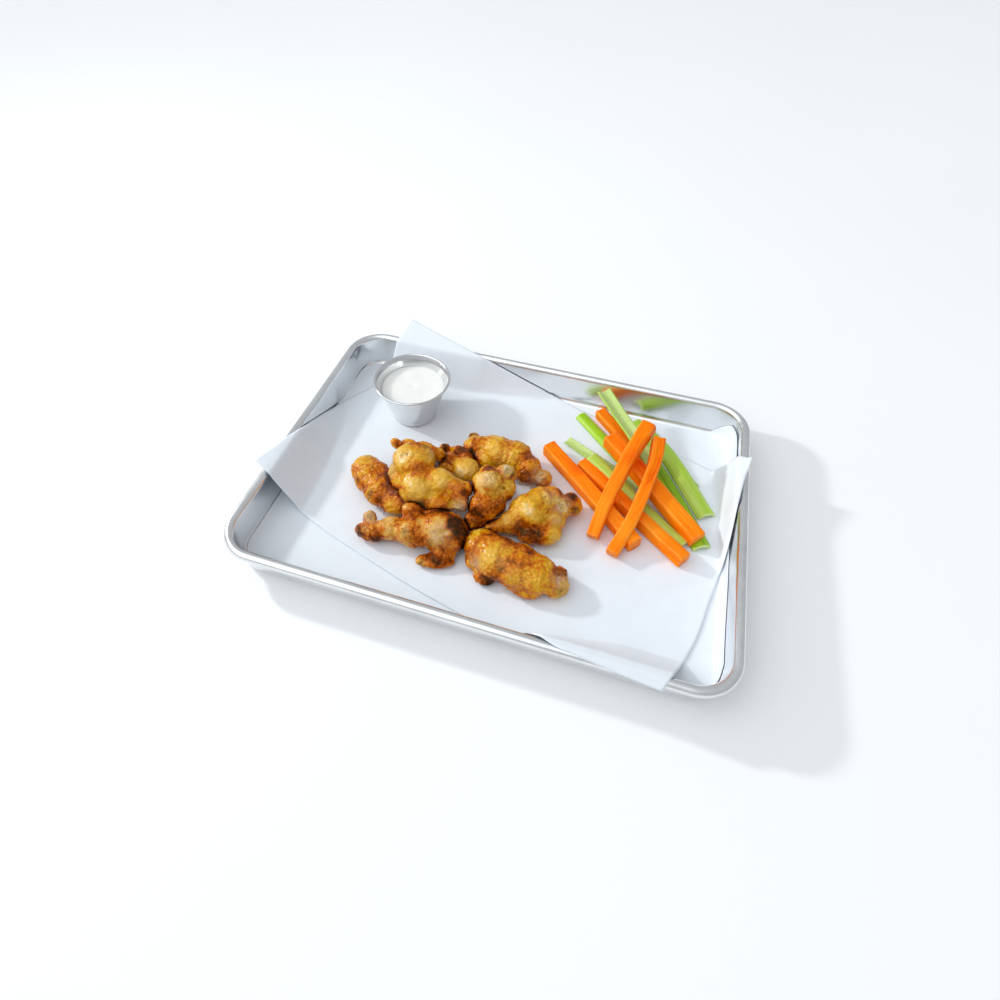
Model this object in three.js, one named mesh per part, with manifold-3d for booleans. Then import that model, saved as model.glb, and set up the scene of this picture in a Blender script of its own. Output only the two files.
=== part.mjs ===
// Chicken wings served on a quarter-sheet tray with two liners, a cup of dip and vegetable sticks.
// Millimetres, +Z up. Origin: middle of the tray's underside. +X runs along the tray's long side,
// +Y towards its back.
import * as THREE from 'three';
import Module from 'manifold-3d';
import { mergeVertices } from 'three/addons/utils/BufferGeometryUtils.js';

const wasm = await Module();
wasm.setup();

// ---------------------------------------------------------------- driving dimensions

const TRAY_LENGTH = 329;         // outside of the rolled rim, along X
const TRAY_WIDTH = 238;          // outside of the rolled rim, along Y
const TRAY_HEIGHT = 29;
const TRAY_CORNER = 27.8;        // outside corner radius, seen from above
const TRAY_GAUGE = 1.2;          // sheet aluminium
const BEAD = 3.4;                // radius of the rolled rim
const FILLET = 5;                // inside radius between floor and wall
const WALL_FOOT = 8;             // how far inside the rim's edge the wall meets the floor fillet

const GAP = 0.3;                 // clearance between pieces that rest on each other
const PAPER = 0.4;               // thickness of a liner

const CUP_AT = [-91.9, 57.9];
const CUP_HEIGHT = 38.4;
const CUP_BASE = 17.5;           // radius of the cup's foot
const CUP_MOUTH = 30.1;          // radius over the rolled lip
const CUP_WALL = 0.9;
const CUP_TURN = 6.4;            // height inside the cup where its wall starts
const CUP_TOP = 26.5;            // radius inside the cup at the foot of its lip
const DIP_LEVEL = 29.2;          // above the cup's foot

const FOOD_FLOOR = TRAY_GAUGE + 3 * GAP + 2 * PAPER;   // what lies on the upper liner starts here

const ALUMINIUM = new THREE.MeshStandardMaterial({ color: 0xc4c7ca, roughness: 0.35, metalness: 0.9 });
const STEEL = new THREE.MeshStandardMaterial({ color: 0xb9bcc0, roughness: 0.25, metalness: 1 });
const LINER = new THREE.MeshStandardMaterial({ color: 0xeef1f6, roughness: 0.8, metalness: 0 });
const DRESSING = new THREE.MeshStandardMaterial({ color: 0xf6f4ee, roughness: 0.5, metalness: 0 });
const SKIN = new THREE.MeshStandardMaterial({ color: 0xb9752a, roughness: 0.5, metalness: 0 });
const ORANGE = new THREE.MeshStandardMaterial({ color: 0xff8410, roughness: 0.6, metalness: 0 });
const GREEN = new THREE.MeshStandardMaterial({ color: 0xaac850, roughness: 0.5, metalness: 0 });

// ---------------------------------------------------------------- small helpers

const group = new THREE.Group();

function add(name, geometry, material) {
  const mesh = new THREE.Mesh(geometry, material);
  mesh.name = name;
  group.add(mesh);
  return mesh;
}

function geometryFrom(points, triangles) {
  const geometry = new THREE.BufferGeometry();
  geometry.setAttribute('position', new THREE.Float32BufferAttribute(points.flat(), 3));
  geometry.setIndex(triangles.flat());
  return geometry;
}

// Closed body from rings of equally many points. Its ends are fans to a middle point or, where the
// section is hollowed, the given triangles of the section.
function loft(rings, capTriangles = null) {
  const count = rings[0].length;
  const points = rings.flat();
  const triangles = [];
  for (let r = 0; r + 1 < rings.length; r += 1) {
    for (let i = 0; i < count; i += 1) {
      const a = r * count + i;
      const b = r * count + ((i + 1) % count);
      triangles.push([a, b, b + count], [a, b + count, a + count]);
    }
  }
  const last = (rings.length - 1) * count;
  if (capTriangles) {
    for (const [i, j, k] of capTriangles) triangles.push([i, k, j], [last + i, last + j, last + k]);
    return geometryFrom(points, triangles);
  }
  const middle = (ring) => [0, 1, 2].map((axis) => ring.reduce((sum, p) => sum + p[axis], 0) / count);
  const start = points.push(middle(rings[0])) - 1;
  const end = points.push(middle(rings[rings.length - 1])) - 1;
  for (let i = 0; i < count; i += 1) {
    const next = (i + 1) % count;
    triangles.push([start, next, i], [end, last + i, last + next]);
  }
  return geometryFrom(points, triangles);
}

function solidOf(geometry) {
  const bare = geometry.clone();
  bare.deleteAttribute('normal');
  bare.deleteAttribute('uv');
  const merged = mergeVertices(bare, 1e-4);
  return new wasm.Manifold(new wasm.Mesh({
    numProp: 3,
    vertProperties: new Float32Array(merged.attributes.position.array),
    triVerts: new Uint32Array(merged.index.array),
  }));
}

// The largest part of a solid, as a geometry.
function geometryOf(solid) {
  const parts = solid.decompose().sort((a, b) => b.volume() - a.volume());
  const mesh = parts[0].getMesh();
  const geometry = new THREE.BufferGeometry();
  geometry.setAttribute('position', new THREE.Float32BufferAttribute(mesh.vertProperties, 3));
  geometry.setIndex(Array.from(mesh.triVerts));
  return geometry;
}

// What is left of a piece when the pieces that it lies on, a little enlarged, are taken away.
function restingOn(geometry, supports) {
  let solid = solidOf(geometry);
  for (const support of supports) solid = solid.subtract(solidOf(support));
  return geometryOf(solid);
}

// Repeatable value noise between -1 and 1.
function noise(x, y, z, seed) {
  const hash = (i, j, k) => {
    let h = (i * 374761393 + j * 668265263 + k * 2147483647 + seed * 974634777) | 0;
    h = Math.imul(h ^ (h >>> 13), 1274126177);
    return ((h ^ (h >>> 16)) >>> 0) / 2147483648 - 1;
  };
  const [i, j, k] = [x, y, z].map(Math.floor);
  const [u, v, w] = [x - i, y - j, z - k].map((t) => t * t * (3 - 2 * t));
  const mix = (a, b, t) => a + (b - a) * t;
  const row = (jj, kk) => mix(hash(i, jj, kk), hash(i + 1, jj, kk), u);
  return mix(mix(row(j, k), row(j + 1, k), v), mix(row(j, k + 1), row(j + 1, k + 1), v), w);
}

// ---------------------------------------------------------------- tray

// One turn round the tray, a given distance inside the rim's edge.
function trayRing(inset, z, steps = 5, sideSteps = [1, 1]) {
  const radius = Math.max(TRAY_CORNER - inset, 1);
  const cx = TRAY_LENGTH / 2 - inset - radius;
  const cy = TRAY_WIDTH / 2 - inset - radius;
  const ring = [];
  [[1, 1], [-1, 1], [-1, -1], [1, -1]].forEach(([sx, sy], corner) => {
    for (let i = 0; i <= steps; i += 1) {
      const angle = (corner + i / steps) * Math.PI / 2;
      ring.push([sx * cx + radius * Math.cos(angle), sy * cy + radius * Math.sin(angle), z]);
    }
    const [x, y] = ring[ring.length - 1];
    const pieces = sideSteps[corner % 2];
    for (let i = 1; i < pieces; i += 1) {
      const back = 1 - 2 * i / pieces;
      ring.push(corner % 2 ? [x, y * back, z] : [x * back, y, z]);
    }
  });
  return ring;
}

// Distance of a point inside the rim's edge, negative outside.
function insetAt(x, y) {
  const dx = Math.abs(x) - (TRAY_LENGTH / 2 - TRAY_CORNER);
  const dy = Math.abs(y) - (TRAY_WIDTH / 2 - TRAY_CORNER);
  if (dx > 0 && dy > 0) return TRAY_CORNER - Math.hypot(dx, dy);
  return TRAY_CORNER - Math.max(dx, dy);
}

const FILLET_AT = WALL_FOOT + FILLET;
const WALL_TOP = TRAY_HEIGHT - BEAD;
const WALL_LEAN = (WALL_FOOT - 2 * BEAD) / (WALL_TOP - TRAY_GAUGE - FILLET);

// Height of the tray's floor and of the fillet round it, with something of the given thickness on it.
function floorTop(inset, cover) {
  const across = Math.max(FILLET_AT - Math.max(inset, WALL_FOOT + cover), 0);
  return TRAY_GAUGE + FILLET - Math.sqrt(Math.max((FILLET - cover) ** 2 - across ** 2, 0));
}

function tray() {
  const rings = [];
  const filletSteps = 3;
  const centre = TRAY_GAUGE + FILLET;
  for (let i = 0; i <= filletSteps; i += 1) {
    const angle = (i / filletSteps) * Math.PI / 2;
    const radius = FILLET + TRAY_GAUGE;
    rings.push(trayRing(FILLET_AT - radius * Math.sin(angle), centre - radius * Math.cos(angle)));
  }
  const back = 2 * BEAD - TRAY_GAUGE;
  const first = Math.acos((back - BEAD) / BEAD);
  const beadSteps = 9;
  for (let i = 0; i <= beadSteps; i += 1) {
    const angle = -first - (i / beadSteps) * (2 * Math.PI - first);
    rings.push(trayRing(BEAD + BEAD * Math.cos(angle), WALL_TOP + BEAD * Math.sin(angle)));
  }
  for (let i = filletSteps; i >= 0; i -= 1) {
    const angle = (i / filletSteps) * Math.PI / 2;
    rings.push(trayRing(FILLET_AT - FILLET * Math.sin(angle), centre - FILLET * Math.cos(angle)));
  }
  return loft(rings);
}

add('tray', tray(), ALUMINIUM);

// ---------------------------------------------------------------- liners

// A sheet of paper: a surface at(u, v) of top points, thickened downwards along its normals.
function sheetSurface(at, us, vs) {
  const step = 1e-3;
  const top = [];
  const bottom = [];
  for (const v of vs) {
    for (const u of us) {
      const p = new THREE.Vector3(...at(u, v));
      const du = new THREE.Vector3(...at(Math.min(u + step, 1), v))
        .sub(new THREE.Vector3(...at(Math.max(u - step, 0), v)));
      const dv = new THREE.Vector3(...at(u, Math.min(v + step, 1)))
        .sub(new THREE.Vector3(...at(u, Math.max(v - step, 0))));
      const normal = du.cross(dv).normalize();
      top.push(p.toArray());
      bottom.push(p.addScaledVector(normal, -PAPER).toArray());
    }
  }
  const columns = us.length;
  const under = top.length;
  const triangles = [];
  for (let r = 0; r + 1 < vs.length; r += 1) {
    for (let c = 0; c + 1 < columns; c += 1) {
      const a = r * columns + c;
      const b = a + 1;
      const d = a + columns;
      const e = d + 1;
      const rise = (i, j) => Math.abs(top[i][2] - top[j][2]);
      const halves = rise(a, e) < rise(b, d) ? [[a, b, e], [a, e, d]] : [[a, b, d], [b, e, d]];
      for (const [i, j, k] of halves) triangles.push([i, j, k], [under + i, under + k, under + j]);
    }
  }
  const edge = [];
  for (let c = 0; c < columns; c += 1) edge.push(c);
  for (let r = 1; r < vs.length; r += 1) edge.push(r * columns + columns - 1);
  for (let c = columns - 2; c >= 0; c -= 1) edge.push((vs.length - 1) * columns + c);
  for (let r = vs.length - 2; r > 0; r -= 1) edge.push(r * columns);
  edge.forEach((a, i) => {
    const b = edge[(i + 1) % edge.length];
    triangles.push([a, under + b, b], [a, under + a, under + b]);
  });
  return geometryFrom([...top, ...bottom], triangles);
}

// The lower liner covers the floor and goes up the walls. How far past the start of the floor's
// fillet it reaches at each side, measured along the tray's surface.
const UNDER_REACH = { left: 5, front: 3, back: 2.8, right: 13.6 };
const STAND_REACH = 22;                // and in the back right corner
const STAND_FROM_Y = [-10, 62];        // along the right side it grows towards that corner
const FRONT_FROM_Y = [-88, -100];      // and ends before the front right corner
const BACK_FROM_X = [139, 152];        // the back's own reach lasts up to the first of these
const UNDER_FOOT = -9;                 // where its flat middle starts

const ramp = (t, t0, t1, a, b) => a + (b - a) * Math.min(Math.max((t - t0) / (t1 - t0), 0), 1);

// Place on the tray's inside with something of the given thickness laid on it: [inset, height].
function trayInside(reach, cover) {
  const centre = TRAY_GAUGE + FILLET;
  const radius = FILLET - cover;
  const up = reach - FILLET * Math.PI / 2;
  if (reach <= 0) return [FILLET_AT - reach, TRAY_GAUGE + cover];
  if (up > 0) return [WALL_FOOT + cover - up * WALL_LEAN, centre + up];
  const angle = reach / FILLET;
  return [FILLET_AT - radius * Math.sin(angle), centre - radius * Math.cos(angle)];
}

function underReach(x, y) {
  const { left, front, back, right } = UNDER_REACH;
  const endY = TRAY_WIDTH / 2 - TRAY_CORNER;
  if (x < 0) return ramp(Math.abs(y), endY, endY + TRAY_CORNER - WALL_FOOT, left, y < 0 ? front : back);
  if (y < 0) return ramp(y, ...FRONT_FROM_Y, right, front);
  return ramp(x, ...BACK_FROM_X, back, ramp(y, ...STAND_FROM_Y, right, STAND_REACH));
}

function lowerLiner() {
  const ringAt = (inset) => trayRing(inset, 0, 5, [5, 4]);
  const edge = ringAt(WALL_FOOT);
  const foot = ringAt(FILLET_AT);
  const place = (share, cover) => edge.map(([x0, y0], i) => {
    const reach = share < 0 ? UNDER_FOOT : share * underReach(x0, y0);
    const [inset, z] = trayInside(reach, cover);
    const t = (inset - WALL_FOOT) / (FILLET_AT - WALL_FOOT);
    return [x0 + (foot[i][0] - x0) * t, y0 + (foot[i][1] - y0) * t, z];
  });
  const shares = [1, 0.7, 0.35, 0, -1];
  const under = [...shares].reverse().map((share) => place(share, GAP));
  const over = shares.map((share) => place(share, GAP + PAPER));
  return loft([...under, ...over]);
}

add('liner_lower', lowerLiner(), LINER);

// The upper liner lies askew, with a corner over each side of the rim.
const UPPER = {
  back: [[-121, 130.9], [-102.4, 126], [-87.5, 122], [-72.8, 118.1], [-58.1, 113.8], [-52.3, 112.1],
    [-47.2, 111.7], [-39.9, 111.5], [-22.1, 111], [-8.7, 110.6], [4.6, 110.3], [11.8, 109.6],
    [18.2, 108.8], [25.5, 107.1], [33.5, 103.9], [100, 83], [164, 61.2]],
  front: [[-170.6, -48], [-165, -50.3], [-159.6, -52.5], [-152.8, -54.9], [-147.1, -56],
    [-139.3, -57.8], [-129.2, -61.9], [-106, -70.8], [-81, -78.6], [-56, -86.2], [-31, -93.2],
    [0, -100.5], [24, -106], [40, -109.5], [50, -112], [61, -116], [71.4, -117.3], [87.4, -119],
    [104, -120.5], [122, -122]],
  left: [[-170.6, -48], [-167.4, -38.6], [-163.3, -27.6], [-159.6, -15.9], [-157.8, -11.5],
    [-156.8, -5], [-156.9, 0.6], [-157, 7.6], [-156.7, 17.2], [-156.4, 25.4], [-155.8, 35.2],
    [-154.9, 44.7], [-152.3, 53.8], [-147.7, 61.5], [-137.8, 77.8], [-121, 130.9]],
  right: [[122, -122], [131, -102], [142.3, -72], [148, -46], [154.5, -16], [156.2, 4], [157, 18.5],
    [158.5, 32], [164, 61.2]],
};
const RIM_CLEAR = TRAY_HEIGHT + 2;    // height of the upper liner where it crosses the rim
const RIM_DROP = 1.5;                 // how much lower it is just inside the rim
const SHOULDER = 2 * BEAD + 1.8;      // and how far inside the rim's edge that is
const CLIMB_BEND = 1.4;               // 1 would be a straight slope up the wall

// How the upper liner climbs each wall: at which inset it leaves the floor and what share of the
// climb it makes, each as [from, to, value, value] along the wall, and its rise for each mm outside
// the rim.
const CLIMBS = {
  left: { start: [-50, 30, 36, 28], share: [-9.6, 55.5, 1, 0], outward: 0.15 },
  back: { start: [-60, 20, 27, 15], share: [-51.5, 26.2, 1, 0], outward: 0.55 },
  right: { start: [24, 60, 14.5, 23], share: [-36, 26, 0, 1], outward: 0.9 },
  front: { start: [10, 100, 15, 34], share: [0, 52, 0, 1], outward: -0.55 },
};

function edgeCurve(points) {
  const curve = new THREE.CatmullRomCurve3(points.map(([x, y]) => new THREE.Vector3(x, y, 0)));
  return (t) => curve.getPointAt(Math.min(Math.max(t, 0), 1));
}

// Height of the liner near one wall, where it leaves the floor at `start` and crosses the rim.
function climb(inset, start, outward) {
  if (inset >= start) return 0;
  if (inset < BEAD) return RIM_CLEAR + outward * (BEAD - inset);
  if (inset < SHOULDER) return ramp(inset, BEAD, SHOULDER, RIM_CLEAR, RIM_CLEAR - RIM_DROP);
  return (RIM_CLEAR - RIM_DROP) * ((start - inset) / (start - SHOULDER)) ** CLIMB_BEND;
}

function upperLinerHeight(x, y) {
  const walls = {
    left: [x + TRAY_LENGTH / 2, y],
    right: [TRAY_LENGTH / 2 - x, y],
    back: [TRAY_WIDTH / 2 - y, x],
    front: [y + TRAY_WIDTH / 2, x],
  };
  const climbs = Object.entries(CLIMBS).map(([side, { start, share, outward }]) => {
    const [inset, along] = walls[side];
    return climb(inset, ramp(along, ...start), outward) * ramp(along, ...share);
  });
  return Math.max(floorTop(insetAt(x, y), 2 * (GAP + PAPER)), ...climbs);
}

function upperLiner() {
  const curves = Object.fromEntries(Object.entries(UPPER).map(([side, p]) => [side, edgeCurve(p)]));
  const at = (u, v) => {
    const p = curves.front(u).multiplyScalar(1 - v).add(curves.back(u).multiplyScalar(v))
      .add(curves.left(v).multiplyScalar(1 - u)).add(curves.right(v).multiplyScalar(u))
      .sub(curves.front(0).multiplyScalar((1 - u) * (1 - v)))
      .sub(curves.front(1).multiplyScalar(u * (1 - v)))
      .sub(curves.back(0).multiplyScalar((1 - u) * v))
      .sub(curves.back(1).multiplyScalar(u * v));
    return [p.x, p.y, upperLinerHeight(p.x, p.y)];
  };
  const spread = (count) => Array.from({ length: count + 1 }, (_, i) => {
    const t = i / count;
    return t - 0.55 * Math.sin(2 * Math.PI * t) / (2 * Math.PI);
  });
  return sheetSurface(at, spread(22), spread(16));
}

add('liner_upper', upperLiner(), LINER);

// ---------------------------------------------------------------- cup of dip

function cupOutline() {
  const rim = CUP_MOUTH;
  return [
    [0, 0], [CUP_BASE - 4, 0], [CUP_BASE - 1.2, 0.9], [CUP_BASE, 3.2], [CUP_BASE + 0.7, 6],
    [27.2, CUP_HEIGHT - 4.2], [28.2, CUP_HEIGHT - 2.2], [rim - 0.3, CUP_HEIGHT - 1.3],
    [rim, CUP_HEIGHT - 0.6], [rim - 0.6, CUP_HEIGHT], [28.2, CUP_HEIGHT - 0.5],
  ];
}

function cup() {
  const outer = cupOutline();
  const inner = [
    [CUP_TOP, CUP_HEIGHT - 3.6], [CUP_BASE - 0.3, CUP_TURN], [CUP_BASE - 1.2, 3.6],
    [CUP_BASE - 4, CUP_WALL + 0.7], [0, CUP_WALL],
  ];
  const profile = [...outer, ...inner].map(([r, z]) => new THREE.Vector2(r, z));
  return new THREE.LatheGeometry(profile, 32).rotateX(Math.PI / 2);
}

// Radius inside the cup at a height above its foot.
function cupInside(z) {
  const foot = CUP_BASE - 0.3;
  return foot + (CUP_TOP - foot) * (z - CUP_TURN) / (CUP_HEIGHT - 3.6 - CUP_TURN);
}

function dip() {
  const edge = cupInside(DIP_LEVEL) - GAP - 0.1;
  const profile = [
    [0, CUP_WALL + GAP], [CUP_BASE - 5, CUP_WALL + 1.1 + GAP], [cupInside(CUP_TURN) - GAP - 0.6, CUP_TURN],
    [edge, DIP_LEVEL], [edge - 2, DIP_LEVEL + 0.3], [14, DIP_LEVEL + 0.6], [5, DIP_LEVEL + 1],
    [1.5, DIP_LEVEL + 0.5], [0, DIP_LEVEL + 0.3],
  ].map(([r, z]) => new THREE.Vector2(r, z));
  return new THREE.LatheGeometry(profile, 24).rotateX(Math.PI / 2);
}

for (const [name, geometry, material] of [['sauce_cup', cup(), STEEL], ['dip', dip(), DRESSING]]) {
  add(name, geometry, material).position.set(...CUP_AT, FOOD_FLOOR);
}

// ---------------------------------------------------------------- chicken wings

// A wing piece is a few lobes of meat, skin and bone end, blended into one body. Each lobe is
// [x, y, z, half length, half width, half height], turned by the piece's heading in degrees.
const WINGS = {
  flat_left: {
    heading: -29,
    spine: ['tip', 'joint'],
    lobes: {
      tip: [-101.5, -16, 12, 11, 12, 9.5], shoulder: [-93, -22.5, 13, 13.5, 14, 10.5],
      middle: [-82, -30, 13, 14, 14.5, 10.5], joint: [-70, -35, 12, 14, 12.5, 9.5],
      knuckle: [-57, -37, 10, 9, 9, 8],
    },
  },
  drumette_low: {
    heading: 14,
    spine: ['bone_end', 'bulb'],
    lobes: {
      bone_end: [-75, -64, 10, 10, 8, 7], tendon: [-81, -56, 12, 5, 5, 6],
      burnt_tip: [-84, -65, 9, 4, 5, 5], neck: [-63, -59, 12, 11, 9, 8.5],
      meat: [-46, -58, 14, 14, 12, 11], bulb: [-30, -53, 15, 17, 15, 12.5],
      shoulder: [-20, -51, 14, 9, 13, 11], top_lump: [-53, -46, 18, 8, 7, 7],
      top_fold: [-35, -46, 17, 12, 7, 7], skin_flap: [-28, -71, 6.5, 14, 6, 4],
      flap_root: [-24, -65, 9, 9, 6, 6],
    },
  },
  flat_front: {
    heading: -13,
    spine: ['heel', 'lower'],
    lobes: {
      heel: [0, -54, 12, 13, 13, 10], upper: [12, -60, 13, 16, 16, 11.5],
      middle: [26, -62, 13, 17, 16.5, 11.5], lower: [39, -64, 12.5, 15, 14.5, 10.5],
      joint: [53, -66, 10, 9, 10, 8], knuckle: [54, -58, 11, 5, 5, 5],
      belly: [33, -74, 8, 12, 6, 5.5], skin_rim: [-2, -62, 8, 6.5, 9, 5],
      skin_tail: [7, -72, 6.5, 8, 7, 4],
    },
  },
  drumette_right: {
    heading: 37,
    spine: ['shank', 'knob_b'],
    lobes: {
      thin_end: [4, -36, 11, 9, 6, 6], shank: [14, -30, 13, 11, 9, 9],
      meat: [23, -20, 16, 14, 14, 12], crest: [29, -11, 18, 11, 12, 10],
      knob_a: [36, -5, 16, 9, 11, 9], knob_b: [44, -8, 14, 9, 9, 8],
      knuckle: [50, -2, 12, 7, 10, 8], under_lobe: [39, -30, 10.5, 11, 9, 8],
      fold: [28, -33, 10, 10, 8, 7], side: [41, -18, 12, 9, 9, 8],
    },
  },
  flat_back: {
    heading: -10,
    spine: ['heel', 'lower'],
    lobes: {
      heel: [-28, 26, 14, 12, 11, 10.5], upper: [-13, 26, 16, 15, 13, 12],
      middle: [1, 25, 16, 14, 13, 12], lower: [13, 19, 14, 10, 11, 10.5],
      joint: [25, 15, 11, 7, 8, 7.5], knuckle: [-34, 37, 12, 6, 4, 6],
      bone: [12, 11, 13, 7, 5, 6], skirt: [-21, 17, 12.5, 11, 7, 8],
    },
  },
  drumette_back: {
    heading: -10,
    spine: ['body', 'side'],
    lobes: {
      body: [-44, 5, 14, 9, 11, 9], knob_a: [-52, 18, 14, 5, 5, 6],
      knob_b: [-41, 18, 15, 6, 5, 6], dome: [-30, 1, 17, 11, 10.5, 9],
      side: [-33, 13, 15, 7, 8, 7],
    },
  },
  drumette_centre: {
    heading: 75,
    spine: ['tip', 'core', 'bulge'],
    lobes: {
      bulge: [-9, -14, 26, 12, 11, 11], frill: [-10, -3, 25, 6, 9, 6], bone: [1, 0, 25, 7, 8, 8],
      side: [3, -11, 21, 10, 8, 8], meat: [-7, -29, 20, 11, 11, 11], tip: [-8, -34, 15, 8, 7, 8],
      flank: [-1, -23, 18, 9, 9, 9], core: [-6, -24, 20, 9, 9, 9], root: [-12, -37, 12, 7, 7, 8],
    },
  },
  drumette_top: {
    heading: -12,
    spine: ['bulb', 'neck', 'shank'],
    lobes: {
      bulb: [-64, -12, 30, 16, 15, 12], belly: [-55, -28, 22, 15, 14, 13],
      neck: [-41, -22, 27, 13, 10, 9.5], shank: [-29, -24, 26, 11, 8, 8],
      knuckle: [-21, -21, 26, 6, 5, 5.5], socket: [-25, -30, 21, 10, 6, 7],
      drape: [-40, -34, 19, 13, 8, 9],
      frill_a: [-72, 4, 27, 9, 4, 5], frill_b: [-60, 4.5, 26, 10, 4, 6],
      frill_c: [-51, 3, 24, 5, 5, 6], ear: [-85, 5.5, 22, 6, 4, 5], fat: [-76, -18, 22, 5, 9, 8],
      fold: [-70, -27, 20, 7.5, 7, 8],
    },
  },
};

// The pieces of each wing's underside neighbours, in the order in which the heap is laid.
const HEAP = {
  flat_left: [],
  drumette_low: ['flat_left'],
  flat_front: ['drumette_low'],
  drumette_right: ['flat_front'],
  flat_back: ['drumette_right'],
  drumette_back: ['flat_back'],
  drumette_centre: ['flat_front', 'drumette_right', 'flat_back', 'drumette_back', 'drumette_low'],
  drumette_top: ['flat_left', 'drumette_low', 'drumette_back', 'flat_back', 'drumette_centre'],
};

const BLEND = 3;                 // how softly the lobes run into each other
const SKIN_RELIEF = 0.7;         // height of the skin's bumps
const SKIN_BUMP = 6;             // width of a bump
const REACH = 34;                // no skin lies further than this from a wing's spine

function wingDistance(p, wing) {
  const turn = THREE.MathUtils.degToRad(wing.heading);
  const [c, s] = [Math.cos(turn), Math.sin(turn)];
  let total = Infinity;
  for (const [x, y, z, length, width, height] of Object.values(wing.lobes)) {
    const [dx, dy, dz] = [p.x - x, p.y - y, p.z - z];
    const local = [(c * dx + s * dy), (c * dy - s * dx), dz];
    const size = [length, width, height];
    const k0 = Math.hypot(...local.map((v, i) => v / size[i]));
    const k1 = Math.hypot(...local.map((v, i) => v / size[i] ** 2));
    const distance = k1 > 1e-9 ? k0 * (k0 - 1) / k1 : -Math.min(...size);
    const near = Math.max(BLEND - Math.abs(total - distance), 0) / BLEND;
    total = Math.min(total, distance) - (Number.isFinite(total) ? near * near * BLEND / 4 : 0);
  }
  return total;
}

// Outermost skin along a ray from the spine.
function skinAlong(origin, direction, wing, grow) {
  const at = (r) => origin.clone().addScaledVector(direction, r);
  let outer = REACH;
  while (outer > 1 && wingDistance(at(outer), wing) > grow) outer -= 0.8;
  let [low, high] = [outer, outer + 0.8];
  for (let i = 0; i < 12; i += 1) {
    const half = (low + high) / 2;
    if (wingDistance(at(half), wing) > grow) high = half;
    else low = half;
  }
  const p = at(low);
  const bump = SKIN_RELIEF * noise(p.x / SKIN_BUMP, p.y / SKIN_BUMP, p.z / SKIN_BUMP, 11);
  p.copy(at(low + bump));
  const floor = FOOD_FLOOR - grow;
  if (p.z < floor) p.copy(at((low + bump) * (origin.z - floor) / (origin.z - p.z)));
  return p.toArray();
}

function wingBody(wing, grow = 0) {
  const sides = 18;
  const capRings = 5;
  const bodyRings = 8;
  const spine = wing.spine.map((name) => new THREE.Vector3(...wing.lobes[name].slice(0, 3)));
  const along = (t) => {
    const place = Math.min(t, 0.999999) * (spine.length - 1);
    const i = Math.floor(place);
    return spine[i].clone().lerp(spine[i + 1], place - i);
  };
  const axis = spine[spine.length - 1].clone().sub(spine[0]).normalize();
  const across = new THREE.Vector3(0, 0, 1).cross(axis).normalize();
  const up = axis.clone().cross(across);
  const ray = (tilt, turn) => axis.clone().multiplyScalar(-Math.cos(tilt))
    .addScaledVector(across, Math.sin(tilt) * Math.cos(turn))
    .addScaledVector(up, Math.sin(tilt) * Math.sin(turn));
  const stations = [];
  for (let i = 0; i < capRings; i += 1) stations.push([0, (i + 0.35) / capRings * Math.PI / 2]);
  for (let i = 0; i <= bodyRings; i += 1) stations.push([i / bodyRings, Math.PI / 2]);
  for (let i = capRings - 1; i >= 0; i -= 1) {
    stations.push([1, Math.PI - (i + 0.35) / capRings * Math.PI / 2]);
  }
  const rings = stations.map(([t, tilt]) => Array.from({ length: sides }, (_, i) => (
    skinAlong(along(t), ray(tilt, i / sides * 2 * Math.PI), wing, grow)
  )));
  return loft(rings);
}

for (const [name, supports] of Object.entries(HEAP)) {
  const grown = supports.map((support) => wingBody(WINGS[support], GAP + 0.15));
  add(name, restingOn(wingBody(WINGS[name]), grown), SKIN);
}

// ---------------------------------------------------------------- vegetable sticks

// Triangles of a section's outline, wound as the outline is.
function sectionTriangles(section) {
  const outline = section.map(([a, b]) => new THREE.Vector2(a, b));
  const flip = THREE.ShapeUtils.area(outline) < 0;
  return THREE.ShapeUtils.triangulateShape(outline, []).map(([i, j, k]) => {
    const wound = THREE.ShapeUtils.area([outline[i], outline[j], outline[k]]) < 0;
    return wound === flip ? [i, j, k] : [i, k, j];
  });
}

// A stick's section swept along its centre line; the section can narrow towards the far end.
function stick(line, section, taper = 1, steps = 8) {
  const curve = new THREE.CatmullRomCurve3(line.map((p) => new THREE.Vector3(...p)));
  const rings = [];
  for (let i = 0; i <= steps; i += 1) {
    const t = i / steps;
    const centre = curve.getPointAt(t);
    const axis = curve.getTangentAt(t);
    const across = new THREE.Vector3(0, 0, 1).cross(axis).normalize();
    const up = axis.clone().cross(across);
    const size = 1 + (taper - 1) * t;
    rings.push(section.map(([a, b]) => centre.clone()
      .addScaledVector(across, a * size).addScaledVector(up, b * size).toArray()));
  }
  return loft(rings, sectionTriangles(section));
}

// Square with cut corners, turned a little about the stick's own axis.
function carrotSection(side, turn, grow = 0) {
  const half = side / 2 + grow;
  const cut = half * 0.72;
  const roll = THREE.MathUtils.degToRad(turn);
  return [[half, cut], [cut, half], [-cut, half], [-half, cut],
    [-half, -cut], [-cut, -half], [cut, -half], [half, -cut]]
    .map(([a, b]) => [a * Math.cos(roll) - b * Math.sin(roll), a * Math.sin(roll) + b * Math.cos(roll)]);
}

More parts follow.
